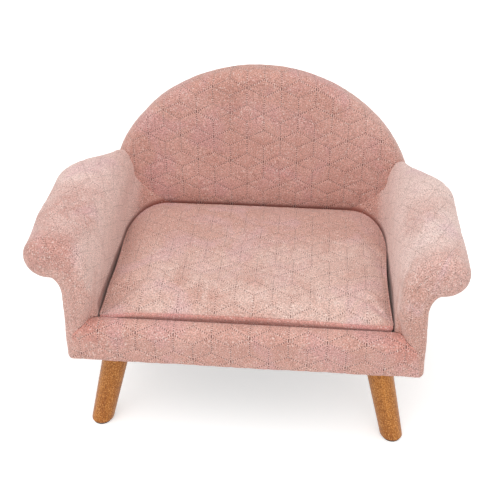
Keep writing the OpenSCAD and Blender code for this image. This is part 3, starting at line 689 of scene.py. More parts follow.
def cushion_plan(a, b):
    """x and depth of the cushion's plan at shares a across, from -1 to 1, and b back, from 0 to 1. The half width
    shrinks as a quarter ellipse over the rear corners and as a small quarter circle at the front ones; sides, front
    and rear are drawn in between their corners by a half sine."""
    straight_d = CUSHION_REAR - CORNER_D - CUSHION_FRONT
    depth = CUSHION_FRONT + CUSHION_LENGTH * b
    back = np.clip((depth - CUSHION_FRONT - straight_d) / CORNER_D, 0, 1)
    front = np.clip(1 - (depth - CUSHION_FRONT) / FRONT_CORNER_R, 0, 1)
    half = CUSHION_HALF - CORNER_W * fall(back) - FRONT_CORNER_R * fall(front)
    half = half - SIDE_DRAW * np.sin(np.pi * np.clip((depth - CUSHION_FRONT) / straight_d, 0, 1))
    x = a * half
    bow = np.cos(np.pi / 2 * np.clip(np.abs(x) / CUSHION_HALF, 0, 1))
    depth = depth + bow * (SIDE_DRAW / 2 * (1 - b) ** 8 - SIDE_DRAW * b**8)
    return x, depth


def seam_height(x, depth):
    """Height of the seam round the cushion's top: it sags to the front edge, most at the left corner."""
    drop = 3.4 * MM + 5.5 * MM * soft_step(-x, 150 * MM, 211 * MM)
    return SEAM_H - drop * (1 - soft_step(depth, CUSHION_FRONT + 4 * MM, CUSHION_FRONT + 70 * MM))


def crown_height(x, depth):
    """Rise of the cushion's top over its seam: the square root of two falls with the third power of the distance
    from the middle, across and back, so that it dies away to every side."""
    across = np.clip(1 - (np.abs(x) / CUSHION_HALF) ** 3, 0, 1)
    back = np.clip(1 - (np.abs(depth - CUSHION_MIDDLE) / (CUSHION_REAR - CUSHION_MIDDLE)) ** 3, 0, 1)
    return CROWN * np.sqrt(across * back)


def make_cushion_foam(grids, material):
    """The foam in the cushion: the cover's own surfaces drawn in by 2.4 mm to every side, towards the middle and
    down from the top, and 1.5 mm up from the underside."""
    drawn_in, raised = 2.4 * MM, 1.5 * MM
    middle = np.array([0, FRONT_Y + CUSHION_MIDDLE])
    drawn = 1 - drawn_in / np.array([CUSHION_HALF, CUSHION_LENGTH / 2])
    patches = []
    for grid in grids:
        risen = np.clip((grid[..., 2] - BASE_Z - CUSHION_LOW) / (SEAM_H - CUSHION_LOW), 0, 1)
        height = grid[..., 2] + raised - (raised + drawn_in) * risen
        foam_grid = np.dstack([middle + (grid[..., :2] - middle) * drawn, height])
        patches.append((foam_grid, grid[..., :2]))
    make_piece("cushion_foam_block", patches, material, ["cushion_foam"], "cushion")


def make_cushion(material, border_material, welt_material, foam_material):
    """The seat cushion: a crowned top and a flat underside on one plan, a border between them with the zip's
    placket at the rear, a welt on the seam round the top, and the foam. It is sewn a little flatter than it ends,
    and blown up by its filling."""
    a = np.sin(np.linspace(-1, 1, 171) * 1.25) / np.sin(1.25)
    front = FRONT_CORNER_R * (1 - quarter_cosine(6))
    main = np.linspace(6.5 * MM, CUSHION_LENGTH - CORNER_D, 72)[:-1]
    corner = CUSHION_LENGTH - CORNER_D * (1 - quarter_sine(54))
    b = np.concatenate([front, main, corner]) / CUSHION_LENGTH
    x, depth = cushion_plan(a[None], b[:, None])
    kept = SLACK
    top = in_place(x, depth, seam_height(x, depth) + kept * crown_height(x, depth))

    def round_edge(grid):
        """A grid's edge, once round the plan: front, right side, rear, left side."""
        return np.concatenate([grid[0, :-1], grid[:-1, -1], grid[-1, :0:-1], grid[:0:-1, 0], grid[:1, 0]])

    rim = round_edge(top)
    away = np.gradient(rim, axis=0)
    away[0] = away[-1] = rim[1] - rim[-2]
    away = unit(np.cross(away, [0, 0, 1.0]))
    share = np.concatenate([[0], np.linspace(0.03, 1, 22)])[:, None]
    rim_h = (rim[None, :, 2] - BASE_Z) * np.ones_like(share)
    height = rim_h - share * (rim_h - CUSHION_LOW)
    length = travel(rim)[None]
    at_front = 1 - soft_step(rim[None, :, 1] - FRONT_Y, CUSHION_FRONT, CUSHION_FRONT + 6 * MM)
    # the border is drawn in halfway and turned under at its foot; at the front it bulges below the seam
    pulled = -1.2 * MM * np.sin(np.pi * share) * (1 - at_front) - 5 * MM * soft_step(share, 0.85, 1) ** 2
    pulled = pulled + at_front * 1.5 * MM * np.sin(np.pi * np.clip((rim_h - height) / (9 * MM), 0, 1))
    pulled = pulled - at_front * 0.8 * MM * soft_step(rim_h - height, 7 * MM, 11 * MM)
    placket = soft_step(ZIP_HALF + 3 * MM - np.abs(rim[None, :, 0]), 0, 5 * MM) * (rim[None, :, 1] > 0)
    placket = placket * soft_step(11 * MM - np.abs(height - ZIP_H), 0, 2.5 * MM)
    softened = 0.35 * MM * swell(rim * [1, 1, 0], 22 * MM, 8)[None] * np.sin(np.pi * share)
    border = rim[None] + away[None] * (pulled + softened)[..., None]
    border[..., 2] = BASE_Z + height
    border[0] = rim

    # the underside has the same plan as the border's lower edge
    low = border[-1]
    na, nb = len(a) - 1, len(b) - 1
    shares_a, shares_b = (a[None, :, None] + 1) / 2, b[:, None, None]
    left, right = low[2 * na + nb :][::-1], low[na : na + nb + 1]
    under = left[:, None] + (right - left)[:, None] * shares_a
    ends = shares_b * (low[na + nb : 2 * na + nb + 1][::-1] - under[-1]) + (1 - shares_b) * (low[: na + 1] - under[0])
    under += ends

    sewn_down = [np.zeros(1), share > 0.6, np.ones(1)]
    fuller = billow([top, border, under], sewn_down, 4.0, BILLOW_CAP)
    step = fuller[0] - top
    step[..., :2] = np.clip(step[..., :2], -SIDE_GIVE, SIDE_GIVE)
    near_rim = soft_step(np.minimum(np.abs(x - x[:, :1]), np.abs(x - x[:, -1:])), 0, 12 * MM)
    step[..., 0] = np.where(near_rim < 1, np.clip(step[..., 0], -EDGE_GIVE, EDGE_GIVE), step[..., 0])
    step[..., 2] = np.clip(step[..., 2], -SIDE_GIVE, TOP_RISE)
    edge_step = fuller[1] - border
    edge_step[..., :2] = np.clip(edge_step[..., :2], -EDGE_GIVE, EDGE_GIVE)
    edge_step[0] = round_edge(step)
    top, border = top + step, border + edge_step * (1 - soft_step(share, 0.45, 0.6))[..., None]
    rim = border[0]
    border -= away[None] * (PLACKET_DEPTH * placket)[..., None]

    make_cushion_foam((top, border, under), foam_material)
    cloth = np.stack([x - 11 * MM, depth - 60.8 * MM], -1)
    out = surface_normals(top, (60, 80), (0, 0, 1))
    inner = np.minimum(np.minimum(depth - depth[:1], depth[-1:] - depth), np.minimum(x - x[:, :1], x[:, -1:] - x))
    free = soft_step(inner, 0, 7 * MM)
    uneven = 0.9 * MM * swell(top * [1, 1, 0], 75 * MM, 21)
    top = top + out * ((quilting(cloth[..., 0], cloth[..., 1]) + uneven) * free)[..., None]
    border_cloth = columns(length, height - 40 * MM)
    patches = [(top, cloth), (border, border_cloth, 1), (under, cloth)]
    both = (material, border_material)
    make_piece("cushion_skin", patches, both, ["cushion_cover"], "cushion")
    line = rim[:-1] - away[:-1] * 0.2 * MM + [0, 0, 0.1 * MM]
    welt = [tube(line, 1.1 * MM, 8, True, (0, 0, 1))]
    make_piece("cushion_welt", welt, welt_material, body="cushion")


# Legs and zip

LEG_TOP, GLIDE_T = 158 * MM, 3 * MM


def make_leg(name, material):
    """A turned, tapered leg that leans: level rings from foot to top, each an ellipse stretched along the lean. Its
    own length, and the place round it, are kept for the grain in an attribute."""
    side, end = np.sign(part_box(name)[0].x), np.sign(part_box(name)[0].y)
    top = np.array([side * 194, -121 if end < 0 else 119]) * MM
    foot = top + np.array([side * 38, end * 29]) * MM
    # the foot is rounded by a quarter ellipse
    z = np.concatenate([GLIDE_T + 2.5 * MM * (1 - quarter_cosine(7)), np.linspace(9 * MM, LEG_TOP, 60)])
    share = z / LEG_TOP
    centre = foot + (top - foot) * share[:, None]
    radius = (17 + 4 * share) * MM
    radius[:7] -= 2.5 * MM * (1 - quarter_sine(7))
    lean = unit(top - foot)
    across = np.array([-lean[1], lean[0]])
    round_n = 97
    a = np.linspace(0, 2 * np.pi, round_n)[None]
    stretch = 1 / np.cos(np.arctan2(np.linalg.norm(top - foot), LEG_TOP))
    offset = stretch * np.cos(a)[..., None] * lean + np.sin(a)[..., None] * across
    xy = centre[:, None] + radius[:, None, None] * offset
    points = np.concatenate([xy, np.broadcast_to(z[:, None, None], (len(z), round_n, 1))], -1)
    mean_radius = 19 * MM
    cloth = columns(a * mean_radius, z[:, None])
    middles = [np.broadcast_to(np.append(centre[i], z[i]), (1, round_n, 3)) for i in (0, -1)]
    grid = np.concatenate([middles[0], points, middles[1]])
    cloth = np.concatenate([cloth[:1], cloth, cloth[-1:]])
    leg = make_piece(name + "_turned", [(grid, cloth)], material, [name])
    co = points_of(leg.data)
    centre_at = foot + (top - foot) * (co[:, 2:3] / LEG_TOP)
    grain = np.column_stack([co[:, :2] - centre_at, co[:, 2] + 0.7 * side + 0.31 * end])
    kept = leg.data.attributes.new("grain_place", "FLOAT_VECTOR", "POINT")
    kept.data.foreach_set("vector", grain.astype(np.float32).ravel())


def make_zip_teeth(material):
    """The zip's coil: small humps in two rows that mesh, one dome repeated along the tape."""
    zip_low, zip_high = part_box("zip_tape")
    middle = (zip_low.z + zip_high.z) / 2
    count = 158
    x = np.linspace(zip_low.x + 1.5 * MM, zip_high.x - 1.5 * MM, count)
    u, v = np.linspace(0, 2 * np.pi, 9), np.linspace(0, np.pi, 6)[:, None]
    dome = columns(0.55 * np.cos(u) * np.sin(v), 0.55 * np.cos(v), 1.35 * np.sin(u) * np.sin(v)) * MM
    row = np.where(np.arange(count) % 2, 0.65, -0.65)
    place = np.column_stack([x, np.full(count, zip_high.y), middle + row * MM])
    patches = [(centre + dome, np.zeros(2)) for centre in place]
    make_piece("zip_teeth", patches, material, body="cushion")


# Materials

PALE_FLECK, DARK_FLECK = (0.88, 0.75, 0.69), (0.28, 0.11, 0.085)
# The pale thread mark between needle holes is a painted highlight.
THREAD_HIGHLIGHT, NEEDLE_HOLE = (0.90, 0.76, 0.70), (0.10, 0.026, 0.02)
# Deep tone painted as the shade in the creases round the cushion.
CREASE_SHADE = (0.31, 0.105, 0.080)
HOLE_STEP = 3.6 * MM


def put(tree, socket, value):
    """Links a socket, or types a number or colour on it."""
    if isinstance(value, bpy.types.NodeSocket):
        tree.links.new(value, socket)
    elif isinstance(value, tuple) and len(value) == 3 and socket.type == "RGBA":
        socket.default_value = (*value, 1)
    elif value is not None:
        socket.default_value = value


def add_node(tree, kind, *values, **settings):
    """A new shader node with its settings; its inputs are linked or typed in order, except where a value is None."""
    node = tree.nodes.new("ShaderNode" + kind)
    for name, setting in settings.items():
        setattr(node, name, setting)
    for socket, value in zip(node.inputs, values):
        put(tree, socket, value)
    return node


def shaded(colour, amount):
    """A colour times an amount."""
    return tuple(amount * part for part in colour)


class Finish:
    """Builds one material's nodes: maths and textures chained from sockets or plain numbers."""

    def __init__(self, name, rough, metallic=0.0, specular=0.5):
        self.material = bpy.data.materials.new(name)
        self.material.use_nodes = True
        self.tree = self.material.node_tree
        self.shader = self.tree.nodes["Principled BSDF"]
        self.place = self.node("TexCoord").outputs["Object"]
        self.type_in({"Roughness": rough, "Metallic": metallic, "Specular IOR Level": specular})

    def node(self, kind, *values, **settings):
        """A new node of this material, as add_node makes it."""
        return add_node(self.tree, kind, *values, **settings)

    def type_in(self, values):
        """Links or types values on the shader's inputs, by name."""
        for name, value in values.items():
            put(self.tree, self.shader.inputs[name], value)

    def axes(self, vector=None):
        """The three parts of a vector, or else of the place on the object."""
        return self.node("SeparateXYZ", vector or self.place).outputs

    def sum(self, operation, *values):
        """One Math node."""
        return self.node("Math", *values, operation=operation).outputs[0]

    def ramp(self, value, low, high, out_low=0.0, out_high=1.0):
        """Maps low..high to out_low..out_high, clipped and softened at both ends."""
        return self.node("MapRange", value, low, high, out_low, out_high, interpolation_type="SMOOTHSTEP").outputs[0]

    def noise(self, scale, detail=2.0, rough=0.5, stretch=(1, 1, 1), bend=0.0, place=None):
        """Noise from 0 to 1 at scale cycles a metre, drawn out by stretch."""
        node = self.node("TexNoise", self.node("Mapping", place or self.place, None, None, stretch).outputs[0])
        for name, item in (("Scale", scale), ("Detail", detail), ("Roughness", rough), ("Distortion", bend)):
            node.inputs[name].default_value = item
        return node.outputs[0]

    def mix(self, share, first, second):
        """Mixes two colours, which are the Mix node's sixth and seventh inputs."""
        return self.node("Mix", share, *[None] * 5, first, second, data_type="RGBA").outputs[2]

    def zone(self, tone, colour, *ramps):
        """Lays a colour, if there is one, over a tone where every ramp is up: their product is its share."""
        if not colour:
            return tone
        share = self.ramp(*ramps[0])
        for ends in ramps[1:]:
            share = self.sum("MULTIPLY", share, self.ramp(*ends))
        return self.mix(share, tone, colour)

    def scaled(self, tone, value):
        """A colour times a plain number, by the hue node's value."""
        return self.node("HueSaturation", None, None, value, None, tone).outputs[0]

    def colour(self, value):
        """Sets the base colour."""
        self.type_in({"Base Color": value})

    def bump(self, height, depth, strength=1.0):
        """Bump from a height of 0 to 1 that stands depth metres proud. Calls follow each other."""
        node = self.node("Bump")
        before = self.shader.inputs["Normal"].links
        inputs = {"Strength": strength, "Distance": depth, "Height": height}
        if before:
            inputs["Normal"] = before[0].from_socket
        for name, value in inputs.items():
            put(self.tree, node.inputs[name], value)
        self.type_in({"Normal": node.outputs[0]})


def stitch_nodes(finish):
    """The stitched lines as nodes, by the same fold as stitch_gap. Each line is a row of needle holes with a short
    pale thread between them, whose paleness is a painted highlight. Returns the holes and the thread highlights,
    from 0 to 1, and the gap to the nearest line in metres."""
    s = finish.sum
    across, along, _ = finish.axes(finish.node("UVMap", uv_map="cloth").outputs[0])
    row = s("FLOOR", s("DIVIDE", along, 3 * RISE))
    height = s("SUBTRACT", along, s("MULTIPLY", row, 3 * RISE))
    fold = s("PINGPONG", s("ADD", s("DIVIDE", across, COLUMN), row), 1.0)
    side = s("MULTIPLY", fold, COLUMN)
    run = float(np.hypot(COLUMN, RISE))
    level = s("SUBTRACT", s("ABSOLUTE", s("SUBTRACT", height, RISE)), s("MULTIPLY", s("SUBTRACT", 1.0, fold), RISE))
    slant = s("MULTIPLY", s("ABSOLUTE", level), COLUMN / run)
    below = s("MAXIMUM", s("SUBTRACT", 2 * RISE, height), 0.0)

    def far(first, second):
        """The root of the sum of two squares."""
        return s("POWER", s("ADD", s("MULTIPLY", first, first), s("MULTIPLY", second, second)), 0.5)

    def dots(shift, wide):
        """Round marks of that width at every hole step of both kinds of line, shifted along them."""
        marks = []
        for gap, passed in ((slant, s("MULTIPLY", fold, run)), (upright, along)):
            share = s("FRACT", s("DIVIDE", s("ADD", passed, shift), HOLE_STEP))
            step = s("MULTIPLY", s("SUBTRACT", share, 0.5), HOLE_STEP)
            marks.append(finish.ramp(far(step, gap), wide, 0.45 * wide))
        return s("MAXIMUM", *marks)

    upright = s("MINIMUM", s("SUBTRACT", COLUMN, side), far(side, below))
    return dots(0.0, 1.15 * MM), dots(HOLE_STEP / 2, 1.1 * MM), s("MINIMUM", slant, upright)


def velvet(
    name, pale, deep, holes=0.85, front_shade=0.0, front_reach=40, rim_shade=0.0, rear_shade=0.0, rear_pale=0.0,
    side_sheen=None, wall=None, low=None, corner=None, shoulder=None, crease_shade_height=None,
):
    """Cut velvet: short pile that lies in blotches, paler where it is brushed one way, with a fine grain, pale and
    dark flecks, a soft sheen, and the quilting's needle holes and sunk lines. Painted shade turns the pile to its
    deeper tone over the foremost front_reach millimetres, as far as front_shade says; rim_shade paints it so on the
    back's rim, and rear_shade over the seat's rear, left and right, while rear_pale leaves it pale over the rear of a
    roll. side_sheen is a paler tone painted as sheen on the arms' seat sides. wall, low, corner and shoulder are
    deeper tones painted as shade: on the arms' outer walls under the roll, on their lower fronts, in the seat's rear
    corners, and on the rail's upper corners. Under the height crease_shade_height, in millimetres, where the cushion
    covers it, a deep tone is painted as the shade of the crease."""
    finish = Finish(name, 0.95, specular=0.12)
    s = finish.sum
    lay = finish.noise(8.0, 3.0, 0.55, bend=0.8)
    brushed = finish.noise(24.0, 3.0, 0.6, stretch=(1.0, 1.0, 0.7), bend=1.4)
    share = s("ADD", finish.ramp(lay, 0.34, 0.68, 0.0, 0.6), finish.ramp(brushed, 0.38, 0.7, 0.0, 0.4))
    across, depth, height = finish.axes()
    uneven = s("MULTIPLY", s("SUBTRACT", s("ADD", brushed, lay), 1.0), 90 * MM)
    left, near, high = (s("ADD", part, uneven) for part in (across, depth, height))
    out = s("ABSOLUTE", across)
    # Painted shade: the pile's deeper tone over the front, over the back's rim, and over the seat's rear, left and
    # sides.
    painted_shades = (
        (front_shade, near, FRONT_Y + front_reach * MM, FRONT_Y - 4 * MM), (rim_shade, high, 420 * MM, 468 * MM),
        (rear_shade, near, -40 * MM, 40 * MM), (rear_shade, left, -130 * MM, -205 * MM),
        (0.8 * rear_shade, out, 194 * MM, 209 * MM),
    )
    for amount, *ends in painted_shades:
        if amount:
            shade_share = finish.ramp(*ends, 0.0, amount)
            share = s("ADD", s("MULTIPLY", share, s("SUBTRACT", 1.0, shade_share)), shade_share)
    if rear_pale:
        share = s("MULTIPLY", share, finish.ramp(near, -50 * MM, 30 * MM, 1.0, 1.0 - rear_pale))
    tone = finish.mix(share, pale, deep)
    cool = tuple(0.5 * (p + d) * k for p, d, k in zip(pale, deep, (1.0, 0.95, 1.12)))
    tone = finish.zone(tone, cool, (finish.noise(13.0, 2.0, 0.5, bend=1.0), 0.46, 0.68, 0.0, 0.55))
    # Painted shade: a deeper tone on the rail's upper ends beside the arms.
    tone = finish.zone(tone, shoulder, (out, 185 * MM, 226 * MM), (high, BASE_Z + 26 * MM, BASE_Z + 60 * MM))
    # Painted sheen: a paler tone on the arms' seat sides.
    if side_sheen:
        wavy = s("ADD", out, s("MULTIPLY", uneven, 0.2))
        tone = finish.zone(tone, side_sheen, (wavy, 236 * MM, 215 * MM, 0.0, 0.8))
    # Painted shade: a deeper tone on the arms' outer walls under the roll.
    below_roll = (high, BASE_Z + 172 * MM, BASE_Z + 132 * MM)
    tone = finish.zone(tone, wall, (out, 236 * MM, 244 * MM, 0.0, 0.85), below_roll)
    # Painted shade: a deeper tone low on the arms' front ends and seat sides, deeper further down.
    if low:
        inner = finish.ramp(out, 240 * MM, 232 * MM)
        front_end = finish.ramp(near, FRONT_Y + 130 * MM, FRONT_Y + 10 * MM)
        slope = s("ADD", high, s("MULTIPLY", near, 0.8))
        falling = finish.ramp(slope, BASE_Z + 55 * MM, BASE_Z - 35 * MM)
        tone = finish.mix(s("MULTIPLY", s("MAXIMUM", inner, front_end), falling), tone, low)
    # Painted shade: a deeper tone in the seat's rear corners, where the arms meet the back.
    tone = finish.zone(tone, corner, (out, 215 * MM, 196 * MM))
    grain, tufts = finish.noise(560.0, 2.0, 0.8), finish.noise(1400.0, 1.0, 0.5)
    flecks = finish.noise(480.0, 1.0, 0.5, stretch=(1.1, 1, 0.9), bend=0.5)
    speck = s("MULTIPLY", finish.ramp(grain, 0.36, 0.64, 0.71, 1.25), finish.ramp(tufts, 0.3, 0.7, 0.82, 1.16))
    tone = finish.scaled(tone, speck)
    tone = finish.zone(tone, PALE_FLECK, (flecks, 0.60, 0.70, 0.0, 0.6))
    tone = finish.zone(tone, DARK_FLECK, (flecks, 0.37, 0.28, 0.0, 0.6))
    # Painted shade: a deep tone below the cushion's top inside the seat, in the creases round the cushion.
    if crease_shade_height:
        behind_rail = (depth, FRONT_Y + 30 * MM, FRONT_Y + 38 * MM)
        before_back = (depth, FRONT_Y + 345 * MM, FRONT_Y + 335 * MM)
        under_top = (height, BASE_Z + crease_shade_height * MM, BASE_Z + (crease_shade_height - 8) * MM)
        tone = finish.zone(tone, CREASE_SHADE, (out, 218 * MM, 215.5 * MM), behind_rail, before_back, under_top)
    finish.bump(grain, 0.6 * MM, 0.7)
    if holes:
        pricked, thread_highlights, gap = stitch_nodes(finish)
        # Painted highlight: pale marks on the thread between the needle holes.
        tone = finish.mix(s("MULTIPLY", thread_highlights, 0.35 * holes), tone, THREAD_HIGHLIGHT)
        tone = finish.mix(s("MULTIPLY", pricked, holes), tone, NEEDLE_HOLE)
        finish.bump(finish.ramp(gap, 0.0, 3.0 * MM), 0.4 * MM, 0.2)
        finish.bump(s("SUBTRACT", 1.0, pricked), 0.5 * MM, 0.35)
    finish.colour(tone)
    finish.type_in({"Sheen Weight": 0.5, "Sheen Roughness": 0.5, "Sheen Tint": (1.0, 0.84, 0.79)})
    return finish.material


def seam_shade_cord(name, tone):
    """Dark seam thread sunk in the cloth, darkened as painted shade of the seam: fine twist across its run."""
    finish = Finish(name, 0.9, specular=0.1)
    twist = finish.noise(1200.0, 2.0, 0.6)
    finish.colour(finish.zone(tone, shaded(tone, 0.5), (twist, 0.3, 0.7)))
    finish.bump(twist, 0.2 * MM, 0.6)
    return finish.material


def turned_wood(name):
    """Honey-stained, varnished wood with its grain along the leg."""
    finish = Finish(name, 0.4, specular=0.2)
    at = finish.node("Attribute", attribute_name="grain_place").outputs["Vector"]
    rings = finish.noise(70.0, 4.0, 0.6, stretch=(1, 1, 0.07), bend=0.6, place=at)
    pores = finish.noise(900.0, 2.0, 0.6, stretch=(1, 1, 0.02), place=at)
    figure = finish.noise(12.0, 2.0, 0.5, stretch=(1, 1, 0.4), place=at)
    stipple = finish.noise(620.0, 2.0, 0.6, stretch=(1, 1, 0.6), place=at)
    tone = finish.zone((0.51, 0.182, 0.031), (0.30, 0.084, 0.012), (rings, 0.32, 0.7))
    tone = finish.zone(tone, (0.59, 0.240, 0.050), (figure, 0.35, 0.7, 0.0, 0.5))
    tone = finish.zone(tone, (0.12, 0.042, 0.012), (pores, 0.58, 0.72, 0.0, 0.45))
    tone = finish.zone(tone, (0.17, 0.055, 0.012), (stipple, 0.53, 0.62, 0.0, 0.65))
    finish.colour(finish.zone(tone, (0.72, 0.36, 0.11), (stipple, 0.46, 0.37, 0.0, 0.7)))
    finish.bump(rings, 0.25 * MM, 0.35)
    finish.bump(finish.sum("SUBTRACT", 1.0, pores), 0.12 * MM, 0.5)
    finish.type_in({"Roughness": finish.ramp(pores, 0.4, 0.7, 0.32, 0.46), "Coat Weight": 0.07, "Coat Roughness": 0.16})
    return finish.material


def sawn_timber(name, light, dark, stretch, ply_axis=None):
    """Bare timber: grain lines drawn out along the piece, and for plywood the dark and light plies in its thickness,
    which runs along ply_axis, 1 for depth or 2 for height."""
    finish = Finish(name, 0.72, specular=0.3)
    lines = finish.noise(90.0, 4.0, 0.6, stretch=stretch, bend=0.4)
    wide = finish.noise(14.0, 2.0, 0.5, stretch=stretch)
    tone = finish.zone(light, dark, (lines, 0.35, 0.7))
    tone = finish.zone(tone, shaded(light, 0.82), (wide, 0.4, 0.7, 0.0, 0.4))
    if ply_axis:
        layer = finish.sum("PINGPONG", finish.axes()[ply_axis], 1.0 * MM)
        normal = finish.axes(finish.node("NewGeometry").outputs["True Normal"])
        on_edge = (finish.sum("ABSOLUTE", normal[ply_axis]), 0.7, 0.3, 0.0, 0.6)
        tone = finish.zone(tone, shaded(dark, 0.55), (layer, 0.35 * MM, 0.65 * MM), on_edge)
    finish.colour(tone)
    finish.bump(lines, 0.3 * MM, 0.4)
    return finish.material


def plated_steel(name, tint, rough):
    """Zinc-plated or brassed metal: fine drawn lines, cloudy plating and small dull spots."""
    finish = Finish(name, rough, metallic=1.0)
    cloud = finish.noise(60.0, 3.0, 0.6)
    fine = finish.noise(1500.0, 2.0, 0.6, stretch=(1, 0.1, 1))
    finish.colour(finish.zone(tint, shaded(tint, 0.7), (cloud, 0.35, 0.7)))
    finish.type_in({"Roughness": finish.ramp(cloud, 0.3, 0.7, rough * 0.8, rough * 1.4)})
    finish.bump(fine, 0.05 * MM, 0.4)
    return finish.material


def pressed_felt(name, tone):
    """Wool felt: matted fibres, uneven in tone."""
    finish = Finish(name, 0.97, specular=0.1)
    fibres = finish.noise(700.0, 4.0, 0.75, bend=2.0)
    tufts = finish.noise(120.0, 2.0, 0.5)
    shade = finish.zone(tone, shaded(tone, 0.55), (fibres, 0.35, 0.65))
    finish.colour(finish.zone(shade, shaded(tone, 1.25), (tufts, 0.4, 0.7, 0.0, 0.35)))
    finish.bump(fibres, 0.5 * MM, 0.8)
    return finish.material


def spunbond(name):
    """The dust cover's black non-woven cloth: pressed dots in rows on a fibrous sheet."""
    finish = Finish(name, 0.85, specular=0.25)
    fibres = finish.noise(450.0, 4.0, 0.75, bend=3.0)
    across, depth, _ = finish.axes()
    pitch = 1.6 * MM
    dx = finish.sum("PINGPONG", across, pitch)
    dy = finish.sum("PINGPONG", finish.sum("ADD", depth, dx), pitch)
    dot = finish.ramp(finish.sum("ADD", dx, dy), 0.9 * MM, 0.3 * MM)
    tone = finish.zone((0.012, 0.012, 0.014), (0.045, 0.045, 0.05), (fibres, 0.3, 0.7))
    finish.colour(finish.mix(finish.sum("MULTIPLY", dot, 0.6), tone, (0.008, 0.008, 0.009)))
    finish.bump(fibres, 0.25 * MM, 0.5)
    finish.bump(finish.sum("SUBTRACT", 1.0, dot), 0.2 * MM, 0.5)
    return finish.material


def pulp_card(name):
    """Grey-brown card: long fibres and flecks."""
    finish = Finish(name, 0.88, specular=0.2)
    flecks = finish.noise(400.0, 4.0, 0.7, stretch=(1, 0.4, 1))
    cloud = finish.noise(30.0, 3.0, 0.5)
    tone = finish.zone((0.40, 0.27, 0.145), (0.26, 0.165, 0.085), (flecks, 0.35, 0.68))
    finish.colour(finish.zone(tone, (0.47, 0.34, 0.2), (cloud, 0.4, 0.7, 0.0, 0.3)))
    finish.bump(flecks, 0.15 * MM, 0.4)
    return finish.material


def open_foam(name):
    """Cream foam with small open cells."""
    finish = Finish(name, 0.95, specular=0.15)
    cells = finish.node("TexVoronoi", finish.place)
    cells.inputs["Scale"].default_value = 600.0
    pit = finish.ramp(cells.outputs["Distance"], 0.15, 0.55)
    finish.colour(finish.mix(pit, (0.78, 0.70, 0.50), (0.60, 0.51, 0.33)))
    finish.bump(finish.sum("SUBTRACT", 1.0, pit), 0.5 * MM, 0.7)
    return finish.material


def woven_tape(name, tone):
    """The zip's woven tape: fine warp and weft across each other."""
    finish = Finish(name, 0.85, specular=0.2)
    across, _, height = finish.axes()
    yarn = 0.3 * MM
    yarns = [finish.ramp(finish.sum("PINGPONG", part, yarn), 0, yarn) for part in (across, height)]
    cloth = finish.sum("MAXIMUM", *yarns)
    fuzz = finish.noise(900.0, 2.0, 0.6)
    shade = finish.zone(shaded(tone, 0.6), tone, (cloth, 0.3, 1.0))
    finish.colour(finish.zone(shade, shaded(tone, 1.15), (fuzz, 0.4, 0.7, 0.0, 0.3)))
    finish.bump(cloth, 0.2 * MM, 0.6)
    return finish.material


# Dressing the frame

# Lit and shaded copies of one velvet, partly painted light: the arms' and cushion's paler tones are painted sheen, the
# rail's, back's and border's deeper tones are painted shade, the right arm's deep tone is lighter than the left's as
# painted light from the left, and the cushion's pale welt is a painted highlight along its front.
on_both_arms = {"holes": 0.55, "corner": (0.55, 0.29, 0.24), "crease_shade_height": 86}
cover = velvet("rose_velvet", (0.645, 0.375, 0.32), (0.545, 0.287, 0.237), shoulder=(0.575, 0.265, 0.22))
back_cloth = velvet("rose_velvet_back", (0.625, 0.36, 0.31), (0.535, 0.28, 0.23), rim_shade=0.9, crease_shade_height=84)
left_arm_cloth = velvet(
    "rose_velvet_left_arm", (0.76, 0.56, 0.515), (0.535, 0.28, 0.24), front_shade=1.0, front_reach=80, rear_pale=0.5,
    side_sheen=(0.80, 0.605, 0.55), wall=(0.66, 0.42, 0.37), low=(0.60, 0.35, 0.30), **on_both_arms,
)
right_arm_cloth = velvet(
    "rose_velvet_right_arm", (0.755, 0.58, 0.535), (0.60, 0.35, 0.305), front_shade=0.95, rear_pale=0.85,
    side_sheen=(0.78, 0.59, 0.545), wall=(0.67, 0.435, 0.385), low=(0.57, 0.315, 0.26), **on_both_arms,
)
cushion_cloth = velvet("rose_velvet_cushion", (0.71, 0.51, 0.45), (0.58, 0.34, 0.285), holes=0.7, rear_shade=1.0)
border_cloth = velvet("rose_velvet_border", (0.64, 0.33, 0.285), (0.56, 0.25, 0.21), holes=0, crease_shade_height=65)
cushion_welt_cloth = velvet("rose_velvet_cushion_welt", (0.74, 0.50, 0.44), (0.57, 0.31, 0.26), holes=0, rear_shade=1.0)
welt_cloth = velvet("rose_velvet_welt", (0.66, 0.36, 0.31), (0.58, 0.28, 0.235), holes=0)
# Dark cord along the mitre seams: seam thread, darkened as painted shade of the sunk seam.
seam_shade_thread = seam_shade_cord("seam_shade_thread", (0.20, 0.075, 0.06))
wood = turned_wood("honey_varnished_wood")
pine = sawn_timber("sawn_pine", (0.62, 0.42, 0.20), (0.44, 0.25, 0.10), (0.08, 1, 1))
pine_long = sawn_timber("sawn_pine_rails", (0.62, 0.42, 0.20), (0.44, 0.25, 0.10), (1, 0.08, 1))
ply_level = sawn_timber("plywood_deck", (0.58, 0.40, 0.22), (0.42, 0.26, 0.13), (0.1, 1, 1), ply_axis=2)
ply_upright = sawn_timber("plywood_formers", (0.58, 0.40, 0.22), (0.42, 0.26, 0.13), (1, 1, 0.1), ply_axis=1)
zinc = plated_steel("zinc_plated_steel", (0.62, 0.63, 0.64), 0.38)
zip_metal = plated_steel("antique_brass", (0.60, 0.44, 0.22), 0.34)
felt = pressed_felt("brown_felt", (0.10, 0.075, 0.06))
dust_cloth = spunbond("black_dust_cloth")
card = pulp_card("grey_board")
foam = open_foam("cream_foam")
zip_cloth = woven_tape("rose_zip_tape", (0.52, 0.25, 0.20))

